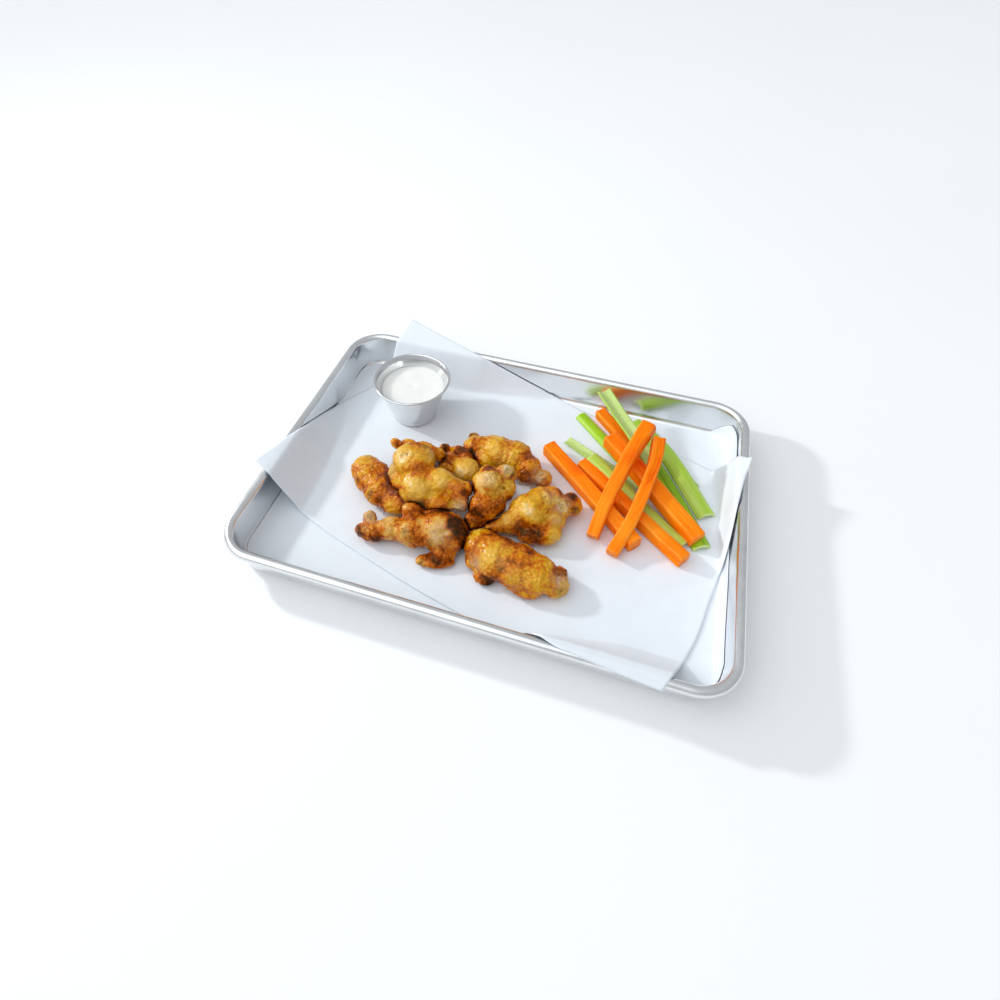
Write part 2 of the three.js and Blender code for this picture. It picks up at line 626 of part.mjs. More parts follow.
// Ribbed back and hollow front of a celery stalk; the hollow faces up when open is 1.
function celerySection(width, open, grow = 0) {
  const radius = width / 2 + grow;
  const depth = 0.66 * radius;
  const ribs = 8;
  const back = Array.from({ length: ribs + 1 }, (_, i) => {
    const angle = Math.PI * (i / ribs);
    const rib = i % 2 ? 0.95 : 1;
    return [rib * radius * Math.cos(angle), rib * depth * Math.sin(angle) - depth / 2];
  });
  const foot = -depth / 2 - 0.08 * radius - grow;
  const hollow = grow ? [[-0.7, 0], [0.7, 0]] : [[-0.7, 0], [-0.4, 0.34], [0, 0.44], [0.4, 0.34], [0.7, 0]];
  const front = hollow.map(([a, b]) => [a * radius, foot + b * radius]);
  const section = [...back, ...front].map(([a, b]) => [a, -open * b]);
  return open > 0 ? section.reverse() : section;
}

const CARROTS = {
  carrot_1: { side: 10.6, turn: 6, line: [[22, 49, 8.7], [60, 14.6, 8.7], [97, -19.5, 8.7]] },
  carrot_2: { side: 9.4, turn: -5, line: [[48.7, 40.5, 8.1], [89, 9.5, 8.1], [129.5, -21.7, 8.1]] },
  carrot_3: { side: 9, turn: 8, line: [[53, 99, 7.8], [72, 79, 7.8], [90, 59, 7.8]] },
  carrot_4: {
    side: 11.6, turn: 4, taper: 0.98, on: ['carrot_3', 'celery_2', 'celery_3', 'celery_6'],
    line: [[65, 61, 20], [101, 28.5, 15], [136.4, -3.8, 10]],
  },
  carrot_5: {
    side: 11, turn: 3, taper: 0.8, on: ['carrot_1', 'carrot_2', 'carrot_4', 'celery_2', 'celery_4'],
    line: [[90.2, 64, 39], [83, 42, 33], [76, 16.5, 24.5], [71.5, -2.5, 16], [68.4, -21.6, 8]],
  },
  carrot_6: {
    side: 9, turn: -4, taper: 0.95, on: ['carrot_1', 'carrot_2', 'carrot_4', 'celery_2', 'celery_4'],
    line: [[98.8, 56.5, 35.5], [99.2, 39.7, 29], [95, 12, 20], [90.3, -9, 13.4], [83, -31, 7.9]],
  },
};

const CELERIES = {
  celery_1: { width: 8.5, open: 1, line: [[33, 64.5, 4.4], [55, 53, 4.4], [92, 33, 4.4]] },
  celery_2: {
    width: 13.5, open: -1, on: ['celery_1', 'carrot_2'],
    line: [[54.5, 46.5, 12], [87, 21.5, 9], [128, -9, 6]],
  },
  celery_3: { width: 11, open: -1, line: [[38.2, 95, 5.4], [63.4, 71, 5.4], [92.6, 42.3, 5.4]] },
  celery_4: {
    width: 12, open: 1, on: ['carrot_3', 'celery_3', 'celery_5'],
    line: [[52, 99.5, 31], [69, 81.5, 25], [81.5, 69, 21], [100, 48, 14]],
  },
  celery_5: { width: 14, open: -1, line: [[81, 99, 5.9], [106.2, 77, 5.9], [142.4, 21.4, 5.9]] },
  celery_6: {
    width: 13, open: -1, on: ['celery_5'],
    line: [[102, 58, 5.7], [122, 27, 5.7], [141, -6, 5.7]],
  },
  celery_7: { width: 5.5, open: -1, on: ['celery_5'], line: [[120, 61, 4.1], [140.4, 41, 4.1]] },
};

const STICKS = {};
for (const [name, c] of Object.entries(CARROTS)) {
  STICKS[name] = { ...c, shape: (grow) => carrotSection(c.side, c.turn, grow), material: ORANGE };
}
for (const [name, c] of Object.entries(CELERIES)) {
  STICKS[name] = { ...c, shape: (grow) => celerySection(c.width, c.open, grow), material: GREEN };
}
for (const [name, s] of Object.entries(STICKS)) {
  const supports = (s.on ?? []).map((below) => {
    const other = STICKS[below];
    return stick(other.line, other.shape(GAP + 0.05), other.taper);
  });
  add(name, restingOn(stick(s.line, s.shape(0), s.taper), supports), s.material);
}

export default group;
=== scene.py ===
"""Chicken wings with dip, carrot and celery sticks on paper in a rimmed tray."""

import itertools
import math
from functools import partial

import bmesh
import bpy
import numpy as np
from mathutils import Matrix, Vector


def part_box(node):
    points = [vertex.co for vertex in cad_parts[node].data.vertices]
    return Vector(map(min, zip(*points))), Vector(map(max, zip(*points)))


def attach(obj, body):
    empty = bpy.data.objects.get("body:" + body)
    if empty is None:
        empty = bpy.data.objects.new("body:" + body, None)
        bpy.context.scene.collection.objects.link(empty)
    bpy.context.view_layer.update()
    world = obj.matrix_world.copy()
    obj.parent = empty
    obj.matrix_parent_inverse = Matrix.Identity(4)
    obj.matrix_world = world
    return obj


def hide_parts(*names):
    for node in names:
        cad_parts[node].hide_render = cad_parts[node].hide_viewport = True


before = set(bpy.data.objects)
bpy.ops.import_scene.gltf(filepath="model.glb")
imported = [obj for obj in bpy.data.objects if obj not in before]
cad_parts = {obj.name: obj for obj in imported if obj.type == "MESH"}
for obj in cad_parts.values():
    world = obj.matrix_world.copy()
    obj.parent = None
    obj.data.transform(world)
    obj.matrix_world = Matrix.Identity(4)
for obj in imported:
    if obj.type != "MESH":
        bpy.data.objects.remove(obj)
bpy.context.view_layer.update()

bl_info = {
    "name": "Chicken Wings Tray",
    "version": (1, 0, 0),
    "blender": (4, 5, 0),
    "location": "3D View > Sidebar > Wings Tray",
    "description": "Builds a tray of chicken wings with dip, carrot and celery sticks",
    "category": "Object",
}

MM = 0.001

TRAY_LOW, TRAY_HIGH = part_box("tray")

# Sizes in mm. An inset is a distance inside the outer edge of the tray's rim.
TRAY_GAUGE = 1.2                    # sheet aluminium
BEAD = 3.4                          # radius of the rolled rim
FILLET = 5.0                        # inside radius between floor and wall
WALL_FOOT = 8.0                     # inset at which the wall meets the fillet
FILLET_AT = WALL_FOOT + FILLET      # inset at which the fillet meets the floor
WALL_TOP = 25.6                     # height at which the wall runs into the rolled rim
WALL_LEAN = (WALL_FOOT - 2 * BEAD) / (WALL_TOP - TRAY_GAUGE - FILLET)
GAP = 0.3                           # clearance between things that rest on each other
PAPER = 0.4                         # room that a liner takes
FOOD_FLOOR = TRAY_GAUGE + 3 * GAP + 2 * PAPER       # height at which food lies on the liners


# ---------------------------------------------------------------- settings

class TraySettings(bpy.types.PropertyGroup):
    """Size of the tray, and colours of the metal and the paper."""

    length: bpy.props.FloatProperty(
        name="Length", description="Outside length of the tray", unit="LENGTH",
        default=TRAY_HIGH.x - TRAY_LOW.x)
    width: bpy.props.FloatProperty(
        name="Width", description="Outside width of the tray", unit="LENGTH",
        default=TRAY_HIGH.y - TRAY_LOW.y)
    height: bpy.props.FloatProperty(
        name="Height", description="Height of the tray's rim", unit="LENGTH", default=TRAY_HIGH.z)
    corner: bpy.props.FloatProperty(
        name="Corner radius", description="Outside radius of the tray's corners", unit="LENGTH",
        default=0.0278)
    metal: bpy.props.FloatVectorProperty(
        name="Metal", description="Colour of the aluminium", subtype="COLOR",
        default=(0.87, 0.88, 0.89))
    paper: bpy.props.FloatVectorProperty(
        name="Paper", description="Colour of the liners", subtype="COLOR",
        default=(0.80, 0.835, 0.885))
    cup: bpy.props.FloatVectorProperty(
        name="Cup", description="Colour of the steel cup", subtype="COLOR",
        default=(0.80, 0.805, 0.81))


class FoodSettings(bpy.types.PropertyGroup):
    """Sizes and colours of the food."""

    skin_detail: bpy.props.FloatProperty(
        name="Skin detail", description="Edge length of the faces of a wing's skin", unit="LENGTH",
        default=0.00055, min=0.0003)
    skin_relief: bpy.props.FloatProperty(
        name="Skin relief", description="Height of the wrinkles and lumps of the skin",
        unit="LENGTH", default=0.0008)
    golden: bpy.props.FloatVectorProperty(
        name="Golden skin", description="Colour of lightly roasted skin", subtype="COLOR",
        default=(0.66, 0.325, 0.002))
    carrot: bpy.props.FloatVectorProperty(
        name="Carrot", description="Colour of the carrot's flesh", subtype="COLOR",
        default=(1.0, 0.215, 0.001))
    celery: bpy.props.FloatVectorProperty(
        name="Celery", description="Colour of the celery's green side", subtype="COLOR",
        default=(0.33, 0.58, 0.006))
    dressing: bpy.props.FloatVectorProperty(
        name="Dip", description="Colour of the dip", subtype="COLOR", default=(0.90, 0.89, 0.85))


class StageSettings(bpy.types.PropertyGroup):
    """Light and floor."""

    lamp: bpy.props.FloatProperty(name="Lamp", description="Strength of the low lamp", default=17.8)
    sky: bpy.props.FloatProperty(name="Sky", description="Strength of the soft light", default=0.84)
    floor: bpy.props.FloatVectorProperty(
        name="Floor", description="Colour of the floor", subtype="COLOR",
        default=(0.94, 0.94, 0.94))


# ---------------------------------------------------------------- noise for shapes

OCTAVE_SHIFT = 17.3                 # keeps the grids of two octaves from lining up


def scrambled(i, j, k, seed):
    """Repeatable values between 0 and 1 for whole-numbered places."""
    h = i * 374761393 + j * 668265263 + k * 2147483647 + seed * 974634777
    h = ((h ^ (h >> 13)) * 1274126177) & 0xFFFFFFFF
    return ((h ^ (h >> 16)) & 0xFFFF) / 65535


def lumps(p, size, seed=0, octaves=1):
    """Soft noise between -1 and 1 at the points p, with lumps of the given size."""
    total = np.zeros(len(p))
    height = 1.0
    for octave in range(octaves):
        q = p / (size * 0.5 ** octave) + OCTAVE_SHIFT * octave
        i = np.floor(q).astype(np.int64)
        f = q - i
        f = f * f * (3 - 2 * f)
        for corner in itertools.product((0, 1), repeat=3):
            weight = np.prod([f[:, a] if c else 1 - f[:, a] for a, c in enumerate(corner)], axis=0)
            total += height * weight * (2 * scrambled(*(i + corner).T, seed + octave) - 1)
        height *= 0.5
    return total


def spots_apart(p, size, seed=0):
    """Distance to the nearest of evenly scattered centres, in units of their spacing."""
    q = p / size
    i = np.floor(q).astype(np.int64)
    best = np.full(len(p), 9.0)
    for step in itertools.product((-1, 0, 1), repeat=3):
        c = i + step
        centre = c + np.stack([scrambled(*c.T, seed + a) for a in range(3)], axis=1)
        best = np.minimum(best, np.linalg.norm(centre - q, axis=1))
    return best


def ramp(t, low, high, a=0.0, b=1.0):
    """a at low and before, b at high and after, even between."""
    return a + (b - a) * np.clip((t - low) / (high - low), 0, 1)


# ---------------------------------------------------------------- materials

def srgb(r, g, b):
    """A colour given as it looks on a screen, 0 to 255, as linear values with alpha."""
    linear = (((c / 255 + 0.055) / 1.055) ** 2.4 if c > 10 else c / 3294 for c in (r, g, b))
    return (*linear, 1)


def shade(colour, light=1.0):
    """A colour made lighter or darker, with alpha."""
    return (*(c * light for c in colour), 1)


def fill_band(band, stops):
    """Gives a band of colours its stops of (position, colour)."""
    while len(band.elements) < len(stops):
        band.elements.new(0.5)
    for element, (position, colour) in zip(band.elements, stops):
        element.position = position
        element.color = colour


class Finish:
    """A material that is built up node by node. Every method but set gives an output to link."""

    def __init__(self, name):
        self.material = bpy.data.materials.new(name)
        self.material.use_nodes = True
        self.nodes = self.material.node_tree.nodes
        self.links = self.material.node_tree.links
        self.shader = self.nodes["Principled BSDF"]
        self.place = self.node("ShaderNodeTexCoord").outputs["Object"]

    def node(self, kind, inputs=None, **settings):
        made = self.nodes.new(kind)
        for key, value in settings.items():
            setattr(made, key, value)
        for key, value in (inputs or {}).items():
            self.put(made.inputs[key], value)
        return made

    def put(self, socket, value):
        """Links an output or sets a plain value."""
        if isinstance(value, bpy.types.NodeSocket):
            self.links.new(value, socket)
        else:
            socket.default_value = value

    def noise(self, scale, detail=3.0, roughness=0.5, distortion=0.0, place=None):
        return self.node("ShaderNodeTexNoise", {
            "Vector": place or self.place, "Scale": scale, "Detail": detail,
            "Roughness": roughness, "Distortion": distortion}).outputs["Fac"]

    def cells(self, scale, feature="F1"):
        return self.node("ShaderNodeTexVoronoi", {"Vector": self.place, "Scale": scale},
                         feature=feature).outputs["Distance"]

    def stretched(self, scale, place=None):
        """The place with each axis multiplied."""
        return self.node("ShaderNodeMapping", {"Vector": place or self.place, "Scale": scale}
                         ).outputs["Vector"]

    def attribute(self, name, output="Fac"):
        return self.node("ShaderNodeAttribute", attribute_name=name).outputs[output]

    def painted(self, name, value, low, high):
        """A painted mask that a noise breaks up."""
        return self.times(self.attribute(name), self.spread(value, low, high), clamp=True)

    def math(self, operation, a, b, clamp=False):
        made = self.node("ShaderNodeMath", operation=operation, use_clamp=clamp)
        self.put(made.inputs[0], a)
        self.put(made.inputs[1], b)
        return made.outputs[0]

    def times(self, a, b, clamp=False):
        return self.math("MULTIPLY", a, b, clamp)

    def blend(self, a, b, share):
        """Two values together, the first with the given share."""
        return self.math("ADD", self.times(a, share), self.times(b, 1 - share))

    def spread(self, value, low, high, to_low=0.0, to_high=1.0):
        return self.node("ShaderNodeMapRange", {
            "Value": value, "From Min": low, "From Max": high, "To Min": to_low,
            "To Max": to_high}).outputs["Result"]

    def ramp(self, value, stops):
        made = self.node("ShaderNodeValToRGB", {"Fac": value})
        fill_band(made.color_ramp, stops)
        return made.outputs["Color"]

    def mix(self, amount, a, b):
        made = self.node("ShaderNodeMix", data_type="RGBA")
        self.put(made.inputs["Factor"], amount)
        self.put(made.inputs[6], a)
        self.put(made.inputs[7], b)
        return made.outputs[2]

    def bump(self, height, distance, strength, under=None):
        """A bump, `distance` high in m, on top of another."""
        inputs = {"Height": height, "Distance": distance, "Strength": strength}
        if under is not None:
            inputs["Normal"] = under
        return self.node("ShaderNodeBump", inputs).outputs["Normal"]

    def set(self, **sockets):
        for key, value in sockets.items():
            self.put(self.shader.inputs[key.replace("_", " ")], value)
        return self.material


def metal_finish(name, colour, roughness, streaks, waves):
    """Satin metal with fine streaks, wiped smears and slight waves."""
    f = Finish(name)
    smear = f.noise(28, 4, 0.6)
    scratch = f.noise(160, 2, 0.5, place=f.stretched(streaks))
    tone = f.blend(smear, scratch, 0.7)
    return f.set(Base_Color=f.mix(f.spread(tone, 0.35, 0.65), shade(colour, 0.86), shade(colour)),
                 Metallic=1.0,
                 Roughness=f.spread(tone, 0.3, 0.7, roughness - 0.05, roughness + 0.08),
                 Normal=f.bump(scratch, 0.00002, 0.5, f.bump(f.noise(22, 2), waves, 0.5)))


def paper_finish(colour):
    """Thin greaseproof paper: faint fibre mottling and soft cockles."""
    f = Finish("liner_paper")
    cloud = f.noise(70, 4, 0.55)
    fibre = f.noise(900, 3, 0.6)
    cockle = f.noise(16, 2, 0.5, 0.8)
    tint = f.mix(f.spread(cloud, 0.35, 0.65), shade(colour, 0.975), shade(colour))
    return f.set(Base_Color=tint, Roughness=f.spread(cloud, 0.3, 0.7, 0.5, 0.62),
                 Specular_IOR_Level=0.35,
                 Normal=f.bump(fibre, 0.00005, 0.35, f.bump(cockle, 0.0006, 0.35)))


def skin_finish(golden):
    """Roasted skin. The painted masks say where it is browned, glazed, charred, fatty or bare;
    the roast mask also carries painted shade and a painted highlight.
    """
    f = Finish("roasted_skin")
    patch = f.noise(120, 4, 0.62, 0.6)
    grain = f.noise(430, 4, 0.65)
    freckle = f.noise(800, 3, 0.6)
    pebble = f.cells(950, feature="SMOOTH_F1")
    dots = f.spread(f.cells(330), 0.20, 0.10)
    # The roast mask carries browning together with painted shade in hollows, creases and contacts,
    # and a painted highlight
    roast_and_shade = f.math("ADD", f.attribute("roast_and_shade"), f.spread(patch, 0.3, 0.7, -0.13, 0.13))
    roast_and_shade = f.math("ADD", roast_and_shade, f.spread(grain, 0.3, 0.7, -0.12, 0.12), clamp=True)
    colour = f.ramp(roast_and_shade, [
        (0.0, srgb(240, 218, 178)), (0.14, srgb(234, 200, 132)), (0.32, srgb(228, 174, 58)),
        (0.50, shade(golden)), (0.64, srgb(202, 106, 0)), (0.78, srgb(146, 62, 0)),
        (0.90, srgb(88, 34, 0)), (1.0, srgb(38, 14, 2))])
    glaze = f.times(f.attribute("glaze"), f.spread(patch, 0.7, 0.3, 0.5, 1))
    colour = f.mix(glaze, colour, f.ramp(roast_and_shade, [
        (0.3, srgb(236, 152, 10)), (0.55, srgb(212, 110, 0)), (0.85, srgb(136, 54, 0))]))
    fat = f.painted("fat", patch, 0.25, 0.6)
    colour = f.mix(fat, colour, srgb(228, 188, 98))
    bone = f.painted("bone", grain, 0.2, 0.55)
    colour = f.mix(bone, colour, f.ramp(grain, [(0.35, srgb(140, 128, 92)),
                                               (0.65, srgb(222, 212, 184))]))
    pink = f.painted("pink", grain, 0.3, 0.6)
    pink = f.times(pink, f.spread(roast_and_shade, 0.42, 0.66, 0.85, 0))
    colour = f.mix(pink, colour, srgb(206, 158, 112))
    specks = f.math("MAXIMUM", f.times(dots, f.spread(patch, 0.45, 0.6)),
                    f.spread(freckle, 0.60, 0.70))
    specks = f.times(specks, f.spread(roast_and_shade, 0.3, 0.6))
    colour = f.mix(f.times(specks, 0.65), colour, srgb(104, 40, 0))
    char = f.painted("char", grain, 0.25, 0.5)
    colour = f.mix(char, colour, srgb(48, 20, 6))
    wet = f.math("MAXIMUM", f.spread(roast_and_shade, 0.45, 0.8, 1, 0.12), f.attribute("glaze"), clamp=True)
    skin = f.blend(grain, f.spread(pebble, 0.0, 0.7, 1, 0), 0.6)
    return f.set(Base_Color=colour, Roughness=f.spread(patch, 0.3, 0.7, 0.24, 0.4),
                 Subsurface_Weight=0.08, Subsurface_Radius=(0.004, 0.0016, 0.0006),
                 Subsurface_Scale=0.5, Coat_Weight=f.times(wet, 0.5), Coat_Roughness=0.2,
                 Specular_IOR_Level=0.25, Specular_Tint=(1.0, 0.7, 0.25, 1),
                 Normal=f.bump(skin, 0.0007, 0.7, f.bump(patch, 0.0014, 0.35)))


def carrot_finish(colour):
    """Cut carrot: lengthwise fibres, a paler core side and dry, whitish edges."""
    f = Finish("cut_carrot")
    grain = f.attribute("grain", "Vector")
    fibre = f.noise(700, 3, 0.6, place=f.stretched((0.07, 1, 1), grain))
    blotch = f.noise(70, 3, 0.5, place=f.stretched((0.3, 1, 1), grain))
    pith = f.noise(1100, 3, 0.6, place=f.stretched((0.25, 1, 1), grain))
    deep = (colour[0] * 0.78, colour[1] * 0.3, 0, 1)
    pale = (1, colour[1] * 1.4, colour[2] * 12, 1)
    tone = f.blend(fibre, blotch, 0.5)
    base = f.ramp(tone, [(0.34, deep), (0.5, shade(colour)), (0.66, pale)])
    dry = f.times(f.attribute("edge"), f.spread(pith, 0.4, 0.62))
    base = f.mix(f.times(dry, 0.45), base, srgb(255, 190, 104))
    return f.set(Base_Color=base, Roughness=f.spread(blotch, 0.3, 0.7, 0.38, 0.55),
                 Subsurface_Weight=0.15, Subsurface_Radius=(0.006, 0.002, 0.0006),
                 Subsurface_Scale=0.6, Specular_IOR_Level=0.08,
                 Normal=f.bump(fibre, 0.0005, 0.7))


def celery_finish(colour):
    """Celery: green ribs outside, whitish flesh in the hollow and at the cut ends."""
    f = Finish("celery_stalk")
    grain = f.attribute("grain", "Vector")
    thread = f.noise(420, 3, 0.55, place=f.stretched((0.03, 1, 1), grain))
    blotch = f.noise(45, 3, 0.5, place=f.stretched((0.4, 1, 1), grain))
    dots = f.noise(1500, 2)
    deep = (colour[0] * 0.36, colour[1] * 0.48, 0, 1)
    tone = f.math("ADD", f.blend(thread, blotch, 0.55), f.attribute("pale"))
    green = f.ramp(tone, [(0.36, deep), (0.55, shade(colour)), (0.82, srgb(190, 214, 106)),
                          (1.0, srgb(204, 222, 164))])
    green = f.mix(f.times(f.attribute("rib"), 0.2), green, srgb(180, 212, 92))
    flesh = f.ramp(dots, [(0.4, srgb(182, 206, 112)), (0.62, srgb(212, 226, 168))])
    base = f.mix(f.attribute("flesh"), green, flesh)
    return f.set(Base_Color=base, Roughness=f.spread(blotch, 0.3, 0.7, 0.24, 0.4),
                 Subsurface_Weight=0.2, Subsurface_Radius=(0.003, 0.005, 0.001),
                 Subsurface_Scale=0.5, Specular_IOR_Level=0.16,
                 Normal=f.bump(thread, 0.0003, 0.5))


def dip_finish(colour):
    """Thick creamy dressing."""
    f = Finish("creamy_dip")
    swirl = f.noise(90, 3, 0.5, 0.6)
    tint = f.mix(f.spread(swirl, 0.3, 0.7), shade(colour, 0.97), shade(colour))
    return f.set(Base_Color=tint, Roughness=f.spread(swirl, 0.3, 0.7, 0.3, 0.42),
                 Subsurface_Weight=0.35, Subsurface_Radius=(0.004, 0.0035, 0.003),
                 Subsurface_Scale=0.7,
                 Normal=f.bump(swirl, 0.0005, 0.35))


def floor_finish(colour):
    """Matt pale table."""
    f = Finish("pale_floor")
    cloud = f.noise(3, 2)
    return f.set(Base_Color=f.mix(f.spread(cloud, 0.3, 0.7), shade(colour, 0.99), shade(colour)),
                 Roughness=f.spread(cloud, 0.3, 0.7, 0.7, 0.8))


# ---------------------------------------------------------------- mesh helpers

def triples(items, key):
    """Three numbers of each item, as rows."""
    values = np.empty(len(items) * 3, np.float32)
    items.foreach_get(key, values)
    return values.reshape(-1, 3).astype(float)


def corners_of(mesh):
    return triples(mesh.vertices, "co")


def move_corners(mesh, points):
    mesh.vertices.foreach_set("co", np.asarray(points, np.float32).ravel())
    mesh.update()


def lay(mesh, p):
    """Places the corners of food at p, in mm, but none lower than the liners."""
    p[:, 2] = np.maximum(p[:, 2], FOOD_FLOOR)
    move_corners(mesh, p * MM)


def paint(mesh, name, values):
    """Keeps one number per corner under a name that a material reads."""
    layer = mesh.attributes.new(name, "FLOAT", "POINT")
    layer.data.foreach_set("value", np.asarray(values, np.float32))


def mesh_from(bm, name):
    mesh = bpy.data.meshes.new(name)
    bm.to_mesh(mesh)
    bm.free()
    return mesh


def serve(mesh, material, node):
    """Puts a finished mesh in the scene in place of a CAD node."""
    mesh.shade_smooth()
    mesh.materials.clear()
    mesh.materials.append(material)
    piece = bpy.data.objects.new(mesh.name, mesh)
    bpy.context.scene.collection.objects.link(piece)
    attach(piece, "root")
    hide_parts(node)


def facing(x, y, z):
    """The turn that brings the axes of space to three directions."""
    return Matrix((x, y, z)).transposed().to_4x4()


def own(group):
    """The settings of one group."""
    return getattr(bpy.context.scene, "wings_tray_" + group)


# ---------------------------------------------------------------- tray and lower liner

def outline_inset(x, y, sizes):
    """Distance of points inside the tray's edge, and the direction straight out of the tray."""
    half_x, half_y, corner = sizes.length / 2, sizes.width / 2, sizes.corner
    dx = np.abs(x) - (half_x - corner)
    dy = np.abs(y) - (half_y - corner)
    both = (dx > 0) & (dy > 0)
    length = np.where(both, np.hypot(dx, dy), 1)
    inset = corner - np.where(both, length, np.maximum(dx, dy))
    out_x = np.where(both, dx / length, dx >= dy) * np.sign(x)
    out_y = np.where(both, dy / length, dx < dy) * np.sign(y)
    return inset, out_x, out_y


CORNER_STEPS = 14                   # pieces of each round corner


def dish(sizes, profile):
    """A rounded floor whose edge is drawn out along a profile of (inset, height) in mm."""
    bm = bmesh.new()
    bmesh.ops.create_grid(bm, x_segments=1, y_segments=1, size=0.5)
    inset, height = profile[0]
    inset, height = inset * MM, height * MM
    bmesh.ops.scale(bm, verts=bm.verts, vec=(sizes.length - 2 * inset, sizes.width - 2 * inset, 1))
    bmesh.ops.translate(bm, verts=bm.verts, vec=(0, 0, height))
    bmesh.ops.bevel(bm, geom=bm.verts[:], affect="VERTICES", offset=sizes.corner - inset,
                    segments=CORNER_STEPS, profile=0.5, material=-1)
    edges = [e for e in bm.edges if e.is_boundary]
    for next_inset, next_height in profile[1:]:
        made = bmesh.ops.extrude_edge_only(bm, edges=edges)["geom"]
        edges = [e for e in made if isinstance(e, bmesh.types.BMEdge) and e.is_boundary]
        verts = [v for v in made if isinstance(v, bmesh.types.BMVert)]
        for v in verts:
            _, out_x, out_y = outline_inset(v.co.x, v.co.y, sizes)
            away = inset - next_inset * MM
            v.co += Vector((float(out_x) * away, float(out_y) * away, next_height * MM - height))
        inset, height = next_inset * MM, next_height * MM
    return bm, edges


def arc(centre_inset, centre_height, radius, first, last, steps):
    """Profile points on an arc; 0 degrees points down and 90 outwards."""
    turns = (math.radians(first + (last - first) * i / steps) for i in range(steps + 1))
    return [(centre_inset - radius * math.sin(t), centre_height - radius * math.cos(t))
            for t in turns]


def tray_profile(height):
    """The tray's section, from its floor over the rim and back under it."""
    top = height - BEAD
    foot = math.degrees(math.acos((BEAD - TRAY_GAUGE) / BEAD))
    inside = arc(FILLET_AT, TRAY_GAUGE + FILLET, FILLET, 0, 90, 7)
    bead = arc(BEAD, top, BEAD, 270, -(90 - foot), 26)
    outside = arc(FILLET_AT, TRAY_GAUGE + FILLET, FILLET + TRAY_GAUGE, 90, 0, 7)
    floor = [(FILLET_AT + 3, TRAY_GAUGE), (FILLET_AT + 0.5, TRAY_GAUGE)]
    wall_low = TRAY_GAUGE + FILLET + 1
    wall_in, wall_out = [(7.9, wall_low), (6.95, top - 1.5)], [(5.75, top - 4), (6.7, wall_low)]
    return floor + inside + wall_in + bead + wall_out + outside + [(FILLET_AT + 3, 0)]


def tray_mesh(sizes):
    bm, edges = dish(sizes, tray_profile(sizes.height / MM))
    bmesh.ops.contextual_create(bm, geom=edges)
    bmesh.ops.recalc_face_normals(bm, faces=bm.faces)
    return mesh_from(bm, "tray_shell")


# How far the lower liner goes past the start of the floor's fillet, along the tray's surface, mm
UNDER_REACH = {"left": 5, "front": 3, "back": 2.8, "right": 13.6}
FRONT_END = (-100, -88)             # along the right wall its front reach grows between these
STAND_REACH = 22                    # and in the back right corner it stands up
STAND_Y = (-10, 62)                 # growing towards it along the right wall
STAND_X = (139, 152)                # and along the back wall
LOOSE_Y = (40, 90)                  # where it leans away from the wall more and more


def floor_top(inset, cover):
    """Height, in mm, of the tray's floor and its fillet under something of the given thickness."""
    across = np.maximum(FILLET_AT - np.maximum(inset, WALL_FOOT + cover), 0)
    return TRAY_GAUGE + FILLET - np.sqrt(np.maximum((FILLET - cover) ** 2 - across ** 2, 0))


def tray_inside(reach, cover):
    """Inset and height, in mm, of a place past the start of the floor's fillet."""
    angle = np.clip(reach / FILLET, 0, math.pi / 2)
    up = np.maximum(reach - FILLET * math.pi / 2, 0)
    return (FILLET_AT - (FILLET - cover) * np.sin(angle) - up * WALL_LEAN,
            TRAY_GAUGE + FILLET - (FILLET - cover) * np.cos(angle) + up)


def under_reach(x, y, sizes):
    """How far the lower liner goes up at points, in mm, of its outline."""
    end = (sizes.width / 2 - sizes.corner) / MM
    side = UNDER_REACH
    left = ramp(abs(y), end, end + sizes.corner / MM - WALL_FOOT)
    left = side["left"] + (np.where(y < 0, side["front"], side["back"]) - side["left"]) * left
    front = ramp(y, *FRONT_END, side["front"], side["right"])
    stand = ramp(y, *STAND_Y, side["right"], STAND_REACH)
    back = side["back"] + (stand - side["back"]) * ramp(x, *STAND_X)
    return np.where(x < 0, left, np.where(y < 0, front, back))


def lower_liner_mesh(sizes):
    """Covers the floor and goes up the walls, highest in the back right corner."""
    insets = [FILLET_AT + away for away in (9, 7, 5, 3.5, 2.2, 1)]
    insets += [FILLET_AT - FILLET * k / 16 for k in range(17)]
    bm, _ = dish(sizes, [(i, 0) for i in insets])
    straight = [e for e in bm.edges if e.calc_length() > 30 * MM]
    bmesh.ops.subdivide_edges(bm, edges=straight, cuts=60, use_grid_fill=True)
    mesh = mesh_from(bm, "lower_liner")
    p = corners_of(mesh) / MM
    inset, out_x, out_y = outline_inset(p[:, 0] * MM, p[:, 1] * MM, sizes)
    inset = inset / MM
    share = np.clip((FILLET_AT - inset) / FILLET, 0, 1)
    edge = p[:, :2] + np.column_stack([out_x, out_y]) * (inset - WALL_FOOT)[:, None]
    edge = np.column_stack([edge, np.zeros(len(p))])
    reach = share * under_reach(edge[:, 0], edge[:, 1], sizes) * (1 + 0.04 * lumps(edge, 16, 5))
    wide, height = tray_inside(reach, GAP + PAPER * (1 - share))
    loose = ramp(edge[:, 0], *STAND_X) * ramp(edge[:, 1], *LOOSE_Y) * ramp(height, 6, 12)
    away = 0.6 + 0.6 * lumps(p + (0, 0, 3) * height[:, None], 8, 5)
    wide = np.where(share > 0, wide + loose * away, inset)
    p[:, 0] += out_x * (inset - wide)
    p[:, 1] += out_y * (inset - wide)
    p[:, 2] = height
    move_corners(mesh, p * MM)
    return mesh


# ---------------------------------------------------------------- upper liner

